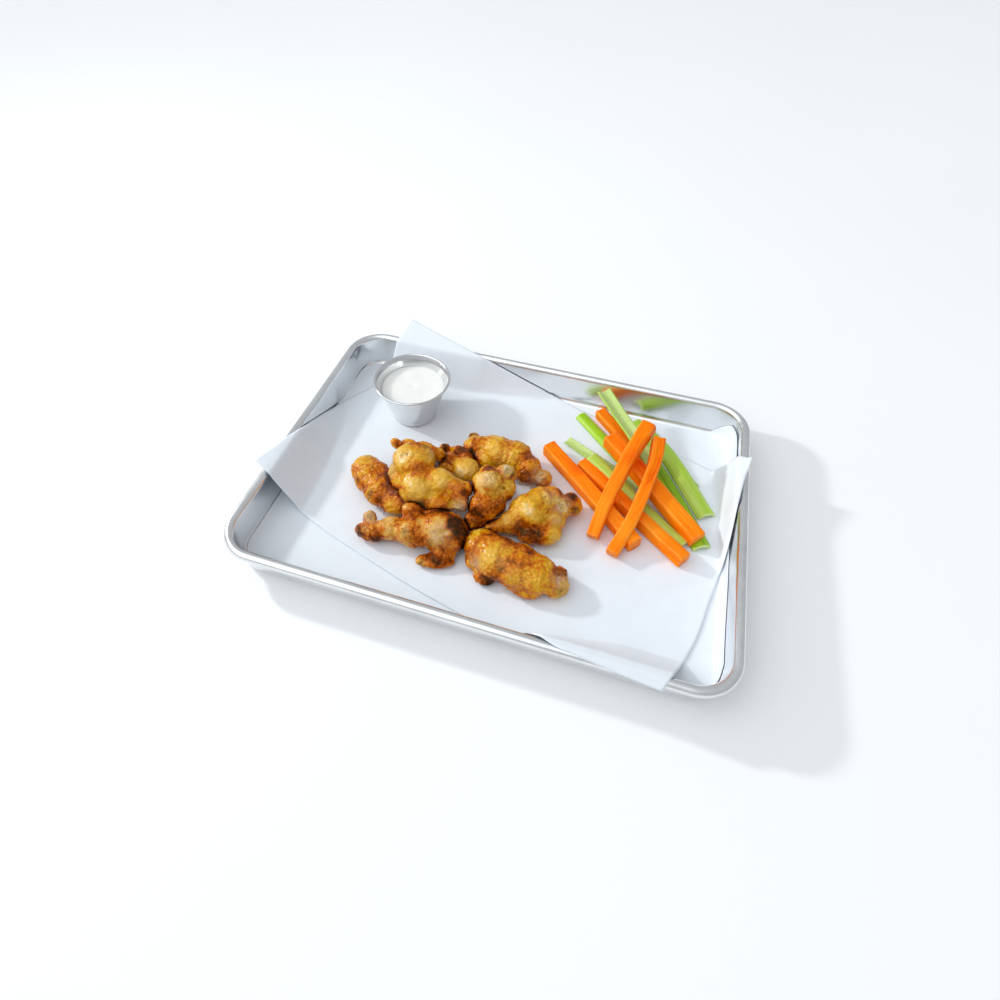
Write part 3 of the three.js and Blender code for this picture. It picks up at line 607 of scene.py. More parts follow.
# The four edges of the upper liner, which lies askew with a corner over each side of the rim, mm
UPPER = {
    "back": [(-121, 130.9), (-102.4, 126), (-87.5, 122), (-72.8, 118.1), (-58.1, 113.8),
             (-52.3, 112.1), (-47.2, 111.7), (-39.9, 111.5), (-22.1, 111), (-8.7, 110.6),
             (4.6, 110.3), (11.8, 109.6), (18.2, 108.8), (25.5, 107.1), (33.5, 103.9), (100, 83),
             (164, 61.2)],
    "front": [(-170.6, -48), (-165, -50.3), (-159.6, -52.5), (-152.8, -54.9), (-147.1, -56),
             (-139.3, -57.8), (-129.2, -61.9), (-106, -70.8), (-81, -78.6), (-56, -86.2),
             (-31, -93.2), (0, -100.5), (24, -106), (40, -109.5), (50, -112), (61, -116),
             (71.4, -117.3), (87.4, -119), (104, -120.5), (122, -122)],
    "left": [(-170.6, -48), (-167.4, -38.6), (-163.3, -27.6), (-159.6, -15.9), (-157.8, -11.5),
             (-156.8, -5), (-156.9, 0.6), (-157, 7.6), (-156.7, 17.2), (-156.4, 25.4),
             (-155.8, 35.2), (-154.9, 44.7), (-152.3, 53.8), (-147.7, 61.5), (-137.8, 77.8),
             (-121, 130.9)],
    "right": [(122, -122), (131, -102), (142.3, -72), (148, -46), (154.5, -16), (156.2, 4),
             (157, 18.5), (158.5, 32), (164, 61.2)],
}
SHEET = 0.22                        # thickness of the sheet itself
RIM_CLEAR = 31.0                    # its height where it crosses the rim
RIM_DROP = 1.5                      # how much lower it is just inside the rim
SHOULDER = 2 * BEAD + 1.8           # and the inset of that place
CLIMB_BEND = 1.4                    # 1 would be a straight slope up the wall

# How it climbs each wall: the inset at which it leaves the floor and the share of the climb that it
# makes, each as (from, to, value, value) along the wall, and its rise for each mm outside the rim.
CLIMBS = {
    "left": {"start": (-50, 30, 36, 28), "share": (-9.6, 55.5, 1, 0), "outward": 0.15},
    "back": {"start": (-60, 20, 27, 15), "share": (-51.5, 26.2, 1, 0), "outward": 0.55},
    "right": {"start": (24, 60, 14.5, 23), "share": (-36, 26, 0, 1), "outward": 0.9},
    "front": {"start": (10, 100, 15, 34), "share": (0, 52, 0, 0.97), "outward": -0.55},
}


def curve_through(points):
    """A smooth curve through points, as a function of the share of its length."""
    p = np.array(points, float)
    p = np.vstack([2 * p[0] - p[1], p, 2 * p[-1] - p[-2]])
    knots = np.concatenate([[0], np.cumsum(np.sqrt(np.linalg.norm(np.diff(p, axis=0), axis=1)))])
    found = []
    for i in range(1, len(p) - 2):
        t0, t1, t2, t3 = knots[i - 1:i + 3]
        t = np.linspace(t1, t2, 40)[:, None]
        a1 = (t1 - t) / (t1 - t0) * p[i - 1] + (t - t0) / (t1 - t0) * p[i]
        a2 = (t2 - t) / (t2 - t1) * p[i] + (t - t1) / (t2 - t1) * p[i + 1]
        a3 = (t3 - t) / (t3 - t2) * p[i + 1] + (t - t2) / (t3 - t2) * p[i + 2]
        b1 = (t2 - t) / (t2 - t0) * a1 + (t - t0) / (t2 - t0) * a2
        b2 = (t3 - t) / (t3 - t1) * a2 + (t - t1) / (t3 - t1) * a3
        found.append((t2 - t) / (t2 - t1) * b1 + (t - t1) / (t2 - t1) * b2)
    line = np.vstack(found)
    run = np.concatenate([[0], np.cumsum(np.linalg.norm(np.diff(line, axis=0), axis=1))])

    def at(share):
        place = np.clip(share, 0, 1) * run[-1]
        return np.stack([np.interp(place, run, line[:, a]) for a in range(line.shape[1])], axis=-1)
    return at


def climbing(inset, start, outward):
    """Height of the liner where it leaves the floor at `start` and crosses the rim."""
    shoulder_height = RIM_CLEAR - RIM_DROP
    wall = shoulder_height * np.clip((start - inset) / (start - SHOULDER), 0, 1) ** CLIMB_BEND
    over = ramp(inset, BEAD, SHOULDER, RIM_CLEAR, shoulder_height)
    past = RIM_CLEAR + outward * (BEAD - inset)
    return np.where(inset < BEAD, past, np.where(inset < SHOULDER, over, wall))


def upper_liner_height(x, y, sizes):
    """Height, in mm, of the sheet where it lies on the floor or climbs a wall."""
    inset, _, _ = outline_inset(x * MM, y * MM, sizes)
    half_x, half_y = sizes.length / 2 / MM, sizes.width / 2 / MM
    walls = {"left": (x + half_x, y), "back": (half_y - y, x),
             "right": (half_x - x, y), "front": (y + half_y, x)}
    heights = [floor_top(inset / MM, 2 * (GAP + PAPER))]
    for side, (inside, along) in walls.items():
        climb = CLIMBS[side]
        start = ramp(along, *climb["start"])
        heights.append(climbing(inside, start, climb["outward"]) * ramp(along, *climb["share"]))
    return np.max(heights, axis=0)


def upper_liner_mesh(sizes):
    """A sheet between its four edges, lifted to its height and given soft waves."""
    bm = bmesh.new()
    bmesh.ops.create_grid(bm, x_segments=190, y_segments=150, size=0.5)
    mesh = mesh_from(bm, "upper_liner")
    uv = corners_of(mesh)[:, :2] + 0.5
    u, v = uv[:, 0], uv[:, 1]
    side = {name: curve_through(points) for name, points in UPPER.items()}
    ends = {name: side[name](np.array([0.0, 1.0])) for name in ("front", "back")}
    u1, v1 = u[:, None], v[:, None]
    xy = (side["front"](u) * (1 - v1) + side["back"](u) * v1 + side["left"](v) * (1 - u1)
          + side["right"](v) * u1 - ends["front"][0] * (1 - u1) * (1 - v1)
          - ends["front"][1] * u1 * (1 - v1) - ends["back"][0] * (1 - u1) * v1
          - ends["back"][1] * u1 * v1)
    x, y = xy[:, 0], xy[:, 1]
    z = upper_liner_height(x, y, sizes)
    flat = np.column_stack([x, y, np.zeros(len(x))])
    lifted = ramp(z, 4, 14)
    middle = ramp(np.min([u, 1 - u, v, 1 - v], axis=0), 0.01, 0.12)
    z = z + lifted * ((0.2 + 0.5 * middle) * lumps(flat, 26, 3) + 0.3 * middle * lumps(flat, 11, 4))
    z = z + (1 - lifted) * 0.12 * (1 + lumps(flat, 30, 6))
    move_corners(mesh, np.column_stack([x, y, z]) * MM)
    bm = bmesh.new()
    bm.from_mesh(mesh)
    bmesh.ops.recalc_face_normals(bm, faces=bm.faces)
    bmesh.ops.solidify(bm, geom=bm.faces[:], thickness=SHEET * MM)
    bm.to_mesh(mesh)
    bm.free()
    return mesh


# ---------------------------------------------------------------- cup and dip

# Sizes in mm; heights are measured from the cup's foot
CUP_AT = (-91.9, 57.9)
CUP_HEIGHT = 38.4
CUP_BASE = 17.5                     # outside radius of the foot
CUP_MOUTH = 30.1                    # outside radius of the lip
CUP_TURN = 6.4                      # height at which the flared wall starts
CUP_NECK = CUP_HEIGHT - 3.6         # height at which it ends, under the lip
CUP_FOOT = CUP_BASE - 0.3           # inside radius where it starts
CUP_TOP = 26.5                      # and where it ends
DIP_LEVEL = 29.2


def turned(profile, name, steps=128, bevel=0.0):
    """A profile of (radius, height) in mm, spun round the cup's axis."""
    bm = bmesh.new()
    verts = [bm.verts.new((r * MM, 0, z * MM)) for r, z in profile]
    edges = [bm.edges.new(pair) for pair in zip(verts, verts[1:])]
    if bevel:
        bmesh.ops.bevel(bm, geom=verts[1:-1], affect="VERTICES", offset=bevel * MM, segments=3,
                        profile=0.5, material=-1)
        verts, edges = bm.verts[:], bm.edges[:]
    bmesh.ops.spin(bm, geom=verts + edges, cent=(0, 0, 0), axis=(0, 0, 1), angle=2 * math.pi,
                   steps=steps, use_merge=True, use_duplicate=False)
    bmesh.ops.remove_doubles(bm, verts=bm.verts, dist=1e-6)
    bmesh.ops.recalc_face_normals(bm, faces=bm.faces)
    bmesh.ops.translate(bm, verts=bm.verts, vec=(CUP_AT[0] * MM, CUP_AT[1] * MM, FOOD_FLOOR * MM))
    return mesh_from(bm, name)


def cup_mesh():
    """Foot, flared wall and rolled lip, outside and inside."""
    outer = [(0, 0.5), (CUP_BASE - 5, 0.5), (CUP_BASE - 3.4, 0), (CUP_BASE - 1.2, 0.5),
             (CUP_BASE - 0.2, 1.8), (CUP_BASE + 0.2, 5.2), (CUP_BASE + 0.8, 6.4),
             (27.2, CUP_HEIGHT - 4.2), (28.2, CUP_HEIGHT - 2.2),
             (CUP_MOUTH - 0.5, CUP_HEIGHT - 1.6), (CUP_MOUTH, CUP_HEIGHT - 0.8),
             (CUP_MOUTH - 0.7, CUP_HEIGHT), (28.2, CUP_HEIGHT - 0.4)]
    inner = [(CUP_TOP, CUP_NECK), (CUP_FOOT, CUP_TURN), (CUP_BASE - 1.2, 3.6),
             (CUP_BASE - 4, 1.6), (0, 1.3)]
    return turned(outer + inner, "dip_cup", bevel=0.45)


def cup_inside(z):
    """Inside radius of the flared wall at a height."""
    return CUP_FOOT + (CUP_TOP - CUP_FOOT) * (z - CUP_TURN) / (CUP_NECK - CUP_TURN)


def dip_mesh():
    """Fills the cup up to its level, with a swirl and a small peak on top."""
    edge = cup_inside(DIP_LEVEL)
    rings = [(edge * share, DIP_LEVEL + rise) for share, rise in (
        (1.0, 0.35), (0.985, 0.0), (0.95, 0.1), (0.9, 0.35), (0.8, 0.5), (0.7, 0.5), (0.6, 0.55),
        (0.5, 0.6), (0.4, 0.7), (0.3, 0.85), (0.22, 1.0), (0.15, 0.95), (0.09, 0.7), (0.04, 0.5),
        (0.0, 0.45))]
    low = [(0, 1.4), (CUP_BASE - 5, 2.2), (cup_inside(CUP_TURN) - 0.6, CUP_TURN)]
    mesh = turned(low + rings, "dip_fill", steps=112)
    p = corners_of(mesh) / MM
    top = ramp(p[:, 2], FOOD_FLOOR + DIP_LEVEL - 1.5, FOOD_FLOOR + DIP_LEVEL - 0.5)
    reach = np.hypot(p[:, 0] - CUP_AT[0], p[:, 1] - CUP_AT[1])
    swirl = lumps(p, 9, 21) * 0.35 + lumps(p, 4, 22) * 0.12
    p[:, 2] += top * ramp(reach, edge, edge - 3) * swirl
    move_corners(mesh, p * MM)
    return mesh


# ---------------------------------------------------------------- chicken wings

# Lobes and dents are (x, y, z, half length, half width, half height) in mm, turned by the wing's
# heading. Marks are (x, y, z, reach, strength), in mm too. A wing's skin is kept clear of the wings
# that it lies over.
WINGS = {
    "flat_left": {
        "heading": -29, "roast_and_shade": 0.43, "lumpy": 0.7, "follicles": 1.0, "glaze": 0.2,
        "lobes": [(-101.5, -16, 12, 11, 12, 9.5), (-93, -22.5, 13, 13.5, 14, 10.5),
            (-82, -30, 13, 14, 14.5, 10.5), (-70, -35, 12, 14, 12.5, 9.5), (-57, -37, 10, 9, 9, 8)],
        "dents": [],
        "marks": {
            "brown_and_highlight": [(-102, -15, 21, 6, -0.1), (-104, -23, 20, 7, -0.12), (-94, -29, 21, 5, -0.08),
                (-70, -32, 21, 9, 0.1), (-78, -42, 16, 4, 0.14)],
            "glaze": [(-91, -17, 22, 8, 0.9), (-85, -27, 23, 7, 0.95), (-74, -34, 22, 9, 1.0),
                (-64, -38, 19, 9, 1.0)],
            "pink": [(-102, -20, 20, 6, 0.25)],
            "char": [(-93, -21, 23, 1.9, 0.9), (-86, -27, 23, 2.1, 0.9), (-80, -32, 23, 1.6, 0.9),
                (-100, -32, 19, 1.9, 0.8), (-87, -40, 18, 2.2, 0.9), (-112, -15, 16, 2.5, 0.8),
                (-72, -36, 22, 1.4, 0.8)],
        },
    },
    "drumette_low": {
        "heading": 14, "roast_and_shade": 0.47, "lumpy": 1.1, "follicles": 0.2, "pink": 0.9,
        "lobes": [(-75, -64, 10, 10, 8, 7), (-81, -56, 12, 5, 5, 6), (-84, -65, 9, 4, 5, 5),
            (-63, -59, 12, 11, 9, 8.5), (-46, -58, 14, 14, 12, 11), (-30, -53, 15, 17, 15, 12.5),
            (-20, -51, 14, 9, 13, 11), (-53, -46, 18, 8, 7, 7), (-35, -46, 17, 12, 7, 7),
            (-28, -71, 6.5, 14, 6, 4), (-24, -65, 9, 9, 6, 6)],
        "dents": [(-76, -57, 18, 6, 2, 3), (-44, -52, 27, 3, 8, 3), (-29, -63, 27, 8, 1.6, 2.5),
            (-22, -59, 27, 7, 1.6, 2.5)],
        "marks": {
            "brown_and_highlight": [(-72, -72, 11, 5, 0.35), (-62, -64, 18, 8, -0.15), (-46, -51, 24, 8, 0.22),
                (-46, -66, 21, 8, 0.25), (-21, -53, 26, 6, 0.35), (-16, -52, 22, 7, 0.4),
                (-27, -73, 9, 9, 0.25), (-33, -44, 25, 7, 0.2)],
            "bone": [(-79, -58, 17, 4, 0.8), (-27, -62, 24, 6, 0.6)],
            "pink": [(-70, -61, 18, 6, 0.7), (-62, -64, 18, 8, 0.8)],
            "char": [(-82, -70, 13, 4.5, 1.0), (-50, -66, 22, 3.2, 0.8), (-45, -69, 20, 2.8, 0.7),
                (-34, -67, 20, 2.8, 0.9), (-14, -53, 22, 4, 0.6), (-35, -76, 7, 2.2, 0.7),
                (-40, -45, 25, 1.8, 0.7)],
        },
    },
    "flat_front": {
        "heading": -13, "roast_and_shade": 0.42, "lumpy": 0.8, "follicles": 0.8,
        "lobes": [(0, -54, 12, 13, 13, 10), (12, -60, 13, 16, 16, 11.5),
            (26, -62, 13, 17, 16.5, 11.5), (39, -64, 12.5, 15, 14.5, 10.5), (53, -66, 10, 9, 10, 8),
            (54, -58, 11, 5, 5, 5), (33, -74, 8, 12, 6, 5.5), (-2, -62, 8, 6.5, 9, 5),
            (7, -72, 6.5, 8, 7, 4)],
        "dents": [(61, -61, 12, 3.5, 2.4, 3.2), (60, -72, 11, 4, 3, 3.4)],
        "marks": {
            "brown_and_highlight": [(-2, -53, 22, 7, 0.1), (10, -47, 20, 6, 0.28), (32, -54, 21, 6, 0.28),
                (21, -50, 21, 6, 0.26), (24, -68, 24, 5, 0.2), (12, -65, 23, 9, -0.08),
                (50, -62, 17, 5, 0.1), (8, -75, 10, 5, 0.1), (11, -77, 5, 4, 0.3),
                (43, -72, 22, 7, -0.1)],
            "fat": [(12, -66, 23, 9, 0.35), (30, -76, 19, 9, 0.3)],
            "bone": [(55, -67, 17, 5, 0.5), (0, -69, 15, 5, 0.5)],
            "pink": [(60, -66, 15, 4, 0.4)],
            "char": [(25, -66, 24, 1.6, 0.7), (22, -67, 24, 1.2, 0.6), (58, -60, 16, 3, 0.9),
                (58, -74, 14, 3.6, 0.8), (4, -67, 11, 2.4, 0.6)],
        },
    },
    "drumette_right": {
        "heading": 37, "roast_and_shade": 0.4, "lumpy": 1.0, "follicles": 0.2,
        "lobes": [(4, -36, 11, 9, 6, 6), (14, -30, 13, 11, 9, 9), (23, -20, 16, 14, 14, 12),
            (29, -11, 18, 11, 12, 10), (36, -5, 16, 9, 11, 9), (44, -8, 14, 9, 9, 8),
            (50, -2, 12, 7, 10, 8), (39, -30, 10.5, 11, 9, 8), (28, -33, 10, 10, 8, 7),
            (41, -18, 12, 9, 9, 8)],
        "dents": [(33, -15, 29, 2, 7, 3.5), (39, -12, 26, 6, 1.8, 3), (46, -14, 22, 1.8, 6, 3),
            (35, -25, 21, 7, 1.5, 3)],
        "marks": {
            "brown_and_highlight": [(24, -28, 26, 6, -0.28), (30, -20, 26, 6, -0.1), (9, -31, 21, 8, 0.02),
                (32, -37, 15, 6, 0.3), (21, -37, 16, 7, 0.3), (-1, -33, 14, 5, 0.1),
                (50, 0, 18, 6, 0.4), (42, -2, 22, 4, 0.25), (38, -35, 16, 6, 0.12)],
            "fat": [(10, -31, 20, 7, 0.5), (42, -24, 17, 5, 0.4)],
            "bone": [(35, -9, 26, 5, 0.35), (44, -12, 21, 6, 0.7), (45, -22, 18, 4, 0.35)],
            "char": [(53, -10, 16, 3.2, 0.9), (47, -8, 21, 1.5, 0.7), (36, -20, 23, 1.6, 0.7)],
        },
    },
    "flat_back": {
        "heading": -10, "roast_and_shade": 0.38, "lumpy": 0.9, "follicles": 0.8,
        "lobes": [(-28, 26, 14, 12, 11, 10.5), (-13, 26, 16, 15, 13, 12), (1, 25, 16, 14, 13, 12),
            (13, 19, 14, 10, 11, 10.5), (25, 15, 11, 7, 8, 7.5), (-34, 37, 12, 6, 4, 6),
            (12, 11, 13, 7, 5, 6), (-21, 17, 12.5, 11, 7, 8)],
        "dents": [(27, 9, 17, 3, 2, 3)],
        "marks": {
            # The mark at (-19, 15, 20) is a painted highlight: a paler cream patch on the wing's
            # top
            "brown_and_highlight": [(-32, 25, 24, 5, 0.28), (-27, 18, 20, 6, -0.04), (-19, 15, 20, 4, -0.16),
                (14, 22, 24, 8, 0.14), (13, 8, 17, 6, 0.25), (28, 9, 14, 4, 0.36),
                (8, 28, 24, 8, 0.1), (20, 5, 12, 5, 0.3)],
            "glaze": [(14, 20, 23, 8, 0.6), (28, 9, 14, 4, 0.6)],
            "fat": [(-5, 16, 24, 8, 0.35)],
            "bone": [(22, 12, 18, 5, 0.8)],
            "pink": [(-25, 17, 20, 5, 0.35)],
            "char": [(-36, 36, 18, 3.5, 0.8), (12, 9, 18, 3, 0.7), (25, 9, 16, 2, 0.7),
                (2, 17, 25, 1.3, 0.8)],
        },
    },
    "drumette_back": {
        "heading": -10, "roast_and_shade": 0.5, "lumpy": 1.1, "follicles": 0.0,
        "over": ("flat_back",),
        "lobes": [(-44, 5, 14, 9, 11, 9), (-52, 18, 14, 5, 5, 6), (-41, 18, 15, 6, 5, 6),
            (-30, 1, 17, 11, 10.5, 9), (-33, 13, 15, 7, 8, 7), (-51, 6, 8.5, 6, 8, 5.5)],
        "dents": [(-46, 17, 19, 1.8, 5, 5), (-38, 6, 25, 1.8, 6, 3)],
        "marks": {
            "brown_and_highlight": [(-49, 13, 20, 5, 0.3), (-52, 19, 20, 4, 0.3), (-38, 15, 20, 5, 0.3),
                (-30, -6, 23, 7, -0.2), (-44, 6, 22, 4, 0.2), (-52, 6, 11, 7, 0.4)],
            "fat": [(-25, 1, 24, 5, 0.5)],
        },
    },
    "drumette_centre": {
        "heading": 75, "roast_and_shade": 0.41, "lumpy": 1.0, "follicles": 0.5,
        "over": ("flat_front", "drumette_right", "flat_back", "drumette_back", "drumette_low"),
        "lobes": [(-9, -14, 26, 12, 11, 11), (-10, -3, 25, 6, 9, 6), (1, 0, 25, 7, 8, 8),
            (3, -11, 21, 10, 8, 8), (-7, -29, 20, 11, 11, 11), (-8, -34, 15, 8, 7, 8),
            (-1, -23, 18, 9, 9, 9), (-6, -24, 20, 9, 9, 9), (-12, -37, 12, 7, 7, 8)],
        "dents": [(3, -3, 33, 3, 2.6, 3), (-3, -8, 35, 8, 1.6, 3), (1, -18, 29, 6, 1.5, 3)],
        "marks": {
            "brown_and_highlight": [(-10, -3, 31, 6, 0.36), (-14, -9, 34, 4, 0.32), (-9, -19, 35, 8, -0.16),
                (6, -10, 28, 4, -0.3), (-9, -32, 29, 7, 0.1), (2, -28, 27, 6, 0.1),
                (-8, -38, 23, 7, 0.22)],
            "glaze": [(-10, -4, 31, 6, 0.6), (10, -11, 24, 3, 0.9)],
            "fat": [(1, -16, 31, 5, 0.35)],
            "bone": [(2, -1, 33, 4, 1.0)],
            "pink": [(-9, -19, 35, 8, 0.85), (-12, -24, 33, 6, 0.7)],
            "char": [(5, -3, 29, 2.6, 1.0), (6, -22, 23, 4, 0.5), (-9, -42, 17, 4, 0.7)],
        },
    },
    "drumette_top": {
        "heading": -12, "roast_and_shade": 0.38, "lumpy": 1.0, "follicles": 0.15,
        "over": ("flat_left", "drumette_low", "drumette_back", "flat_back", "drumette_centre"),
        "lobes": [(-64, -12, 30, 16, 15, 12), (-55, -28, 22, 15, 14, 13),
            (-41, -22, 27, 13, 10, 9.5), (-29, -24, 26, 11, 8, 8), (-21, -21, 26, 6, 5, 5.5),
            (-25, -30, 21, 10, 6, 7), (-40, -34, 19, 13, 8, 9), (-72, 4, 27, 9, 4, 5),
            (-60, 4.5, 26, 10, 4, 6), (-51, 3, 24, 5, 5, 6), (-85, 5.5, 22, 6, 4, 5),
            (-76, -18, 22, 5, 9, 8), (-70, -27, 20, 7.5, 7, 8)],
        "dents": [(-62, -3, 40, 13, 2, 3), (-69, -19, 41, 2, 7, 2.5), (-27, -36, 24, 6, 2, 3)],
        "marks": {
            "brown_and_highlight": [(-83, 2, 27, 6, 0.22), (-67, -3, 39, 6, 0.36), (-60, -6, 39, 6, 0.2),
                (-51, -3, 33, 5, 0.16), (-67, -17, 40, 4, -0.28), (-70, -21, 38, 4, -0.26),
                (-60, -14, 41, 3, -0.2), (-57, -22, 37, 7.5, 0.16), (-63, -36, 28, 4, 0.3),
                (-59, -34, 32, 2.5, -0.3), (-44, -31, 32, 8, -0.2), (-21, -28, 30, 4, 0.34),
                (-33, -38, 25, 5, 0.14), (-28, -34, 27, 3.5, 0.34)],
            "glaze": [(-83, 2, 27, 6, 0.6), (-60, -8, 40, 6, 0.6), (-57, -22, 37, 7, 0.75),
                (-25, -28, 32, 5, 0.9), (-33, -38, 25, 5, 0.7)],
            "fat": [(-76, -23, 27, 4.5, 1.0), (-54, -34, 32, 7, 0.45), (-53, -41, 25, 8, 0.4),
                (-37, -26, 34, 5, 0.55)],
            "bone": [(-78, -20, 30, 3.5, 0.6), (-22, -36, 22, 5, 0.8)],
            "char": [(-57, -2, 37, 2.6, 0.8), (-50, -6, 34, 3.2, 0.7), (-19, -33, 20, 3, 0.6)],
        },
    },
}

# Distances in mm
BLEND = 2.0                         # over which two lobes run into each other
DENT_BLEND = 1.4                    # over which a dent's edge is rounded
HOLLOW_BLEND = 9.0                  # a blend that also fills the hollows between lobes; how far a point lies under it gives painted shade
HOLLOW_SHADE_DEPTH = 1.2                   # depth at which the painted shade in a hollow is darkest
SHRINK = 0.35                       # the relief is laid this far inside the lobes
TOUCH = 1.6                         # how far the painted shade where two wings touch reaches; it also stands for a juice stain there
WALK = 0.02                         # step with which a slope is measured

MASKS = ("roast_and_shade", "glaze", "char", "bone", "fat", "pink")


def turned_by(points, degrees):
    """Points as seen from axes that are turned by so many degrees."""
    c, s = math.cos(math.radians(degrees)), math.sin(math.radians(degrees))
    return np.column_stack([c * points[:, 0] + s * points[:, 1],
                            c * points[:, 1] - s * points[:, 0], points[:, 2]])


def lobe_distance(p, lobe, heading):
    """Distance of points from an egg-shaped lobe, negative inside."""
    local = turned_by(p - np.array(lobe[:3]), heading)
    size = np.array(lobe[3:6])
    k0 = np.linalg.norm(local / size, axis=1)
    k1 = np.linalg.norm(local / size ** 2, axis=1) + 1e-9
    return k0 * (k0 - 1) / k1


def wing_distance(p, wing, blend=BLEND):
    """Distance of points from a wing whose lobes run softly into each other."""
    total = lobe_distance(p, wing["lobes"][0], wing["heading"])
    for lobe in wing["lobes"][1:]:
        d = lobe_distance(p, lobe, wing["heading"])
        near = np.maximum(blend - np.abs(total - d), 0) / blend
        total = np.minimum(total, d) - near ** 2 * blend / 4
    for dent in wing["dents"]:
        d = -lobe_distance(p, dent, wing["heading"])
        near = np.maximum(DENT_BLEND - np.abs(total - d), 0) / DENT_BLEND
        total = np.maximum(total, d) + near ** 2 * DENT_BLEND / 4
    return total


def uphill(p, distance):
    """Direction in which a distance grows fastest."""
    slope = np.stack([distance(p + step) - distance(p - step) for step in np.eye(3) * WALK], axis=1)
    return slope / (np.linalg.norm(slope, axis=1, keepdims=True) + 1e-9)


def skin_relief(p, wing):
    """Relief of the skin as a share of its height, and how far each point lies in a crease and
    between the bumps of plucked skin; the skin's colour takes painted shade from these last two."""
    along = turned_by(p, wing["heading"])
    bent = along + 2.4 * np.column_stack([lumps(along, 9, seed) for seed in (35, 36, 37)])
    crease = np.exp(-(lumps(bent * (1, 0.7, 1), 10.5, 31) / 0.12) ** 2)
    wrinkle = np.exp(-(lumps(bent, 4.4, 38) / 0.2) ** 2)
    fine = lumps(p, 2.4, 33, 2)
    blisters = np.clip(1 - spots_apart(p, 3.1, 34) / 0.5, 0, 1) ** 1.3
    height = (wing["lumpy"] * (0.8 * lumps(p, 11, 32) - 0.6 * crease - 0.25 * wrinkle + 0.4 * fine)
              + 1.2 * wing["follicles"] * (blisters - 0.2))
    return height, crease, wing["follicles"] * (0.3 - blisters)


def blob_mesh(wing, detail):
    """The lobes as one skin of even faces."""
    bm = bmesh.new()
    turn = Matrix.Rotation(math.radians(wing["heading"]), 4, "Z")
    for x, y, z, length, width, height in wing["lobes"]:
        size = Matrix.Diagonal((length * MM, width * MM, height * MM, 1))
        place = Matrix.Translation(Vector((x, y, z)) * MM)
        bmesh.ops.create_icosphere(bm, subdivisions=4, radius=1, matrix=place @ turn @ size)
    mesh = mesh_from(bm, "lobes")
    body = bpy.data.objects.new("lobes", mesh)
    bpy.context.scene.collection.objects.link(body)
    remesh = body.modifiers.new("skin", "REMESH")
    remesh.mode = "VOXEL"
    remesh.voxel_size = detail
    depsgraph = bpy.context.evaluated_depsgraph_get()
    skin = bpy.data.meshes.new_from_object(body.evaluated_get(depsgraph), depsgraph=depsgraph)
    bpy.data.objects.remove(body)
    bpy.data.meshes.remove(mesh)
    return skin


def wing_mesh(name, wing, detail, relief):
    """A wing with the relief of its skin, and with the masks that the skin's material reads."""
    mesh = blob_mesh(wing, detail)
    mesh.name = name + "_skin"
    p = corners_of(mesh) / MM
    distance = partial(wing_distance, wing=wing)
    for _ in range(5):
        p -= uphill(p, distance) * np.clip(distance(p), -1.5, 1.5)[:, None] * 0.9
    height, crease, between = skin_relief(p, wing)
    # How deep each point lies in a hollow between lobes, for painted shade in the skin's colour
    hollow = np.clip(-wing_distance(p, wing, HOLLOW_BLEND) / HOLLOW_SHADE_DEPTH, 0, 1)
    p += uphill(p, distance) * (height * relief / MM - SHRINK)[:, None]
    # How near each point is to another wing: painted shade, and a juice stain, where they touch
    touch = np.zeros(len(p))
    for other_name, other in WINGS.items():
        if other is wing:
            continue
        above = partial(wing_distance, wing=other)
        touch = np.maximum(touch, np.exp(-np.maximum(above(p), 0) / TOUCH))
        for _ in range(3 if other_name in wing.get("over", ()) else 0):
            short = np.maximum(GAP - above(p), 0)
            p += uphill(p, above) * short[:, None]
    lay(mesh, p)
    masks = {kind: wing.get(kind, 0.0) for kind in MASKS}
    stir = np.column_stack([lumps(p, 3.5, seed, 2) for seed in (41, 42, 43)]) * 1.6
    for kind, marks in wing["marks"].items():
        for *centre, reach, strength in marks:
            far = np.linalg.norm(p + stir - centre, axis=1) / reach
            layer = strength * np.exp(-far ** 2)
            if kind == "brown_and_highlight":
                masks["roast_and_shade"] = masks["roast_and_shade"] + layer
            else:
                masks[kind] = np.maximum(masks[kind], layer)
    # The roast mask also takes painted shade: darker in the hollows between lobes, in creases,
    # between the skin's bumps, towards the bottom near the liner, and where another wing touches.
    # Near the liner and at the touching places it also stands for a juice stain.
    masks["roast_and_shade"] = (masks["roast_and_shade"] + 0.04 * height + 0.10 * lumps(p, 14, 44) + 0.22 * hollow
                      + 0.10 * crease + 0.2 * between - 0.06 + 0.14 * ramp(p[:, 2], 9, 3)
                      + 0.55 * touch)
    for kind, values in masks.items():
        paint(mesh, kind, np.clip(np.broadcast_to(values, len(p)), 0, 1))
    return mesh


# ---------------------------------------------------------------- vegetable sticks

# A stick's line is where its middle runs. Its section turns by `turn` degrees and narrows to
# `taper`; a stalk's hollow side is up where `open` is 1. Sizes in mm.
CARROTS = {
    "carrot_1": {"side": 10.6, "turn": 6,
                 "line": [(22, 49, 8.7), (60, 14.6, 8.7), (97, -19.5, 8.7)]},
    "carrot_2": {"side": 9.4, "turn": -5,
                 "line": [(48.7, 40.5, 8.1), (89, 9.5, 8.1), (129.5, -21.7, 8.1)]},
    "carrot_3": {"side": 9, "turn": 8, "line": [(53, 99, 7.8), (72, 79, 7.8), (90, 59, 7.8)]},
    "carrot_4": {"side": 11.6, "turn": 4, "taper": 0.98,
                 "line": [(65, 61, 20), (101, 28.5, 15), (136.4, -3.8, 10)]},
    "carrot_5": {"side": 11, "turn": 3, "taper": 0.8,
                 "line": [(90.2, 64, 39), (83, 42, 33), (76, 16.5, 24.5), (71.5, -2.5, 16),
                          (68.4, -21.6, 8)]},
    "carrot_6": {"side": 9, "turn": -4, "taper": 0.95,
                 "line": [(98.8, 56.5, 35.5), (99.2, 39.7, 29), (95, 12, 20), (90.3, -9, 13.4),
                          (83, -31, 7.9)]},
}

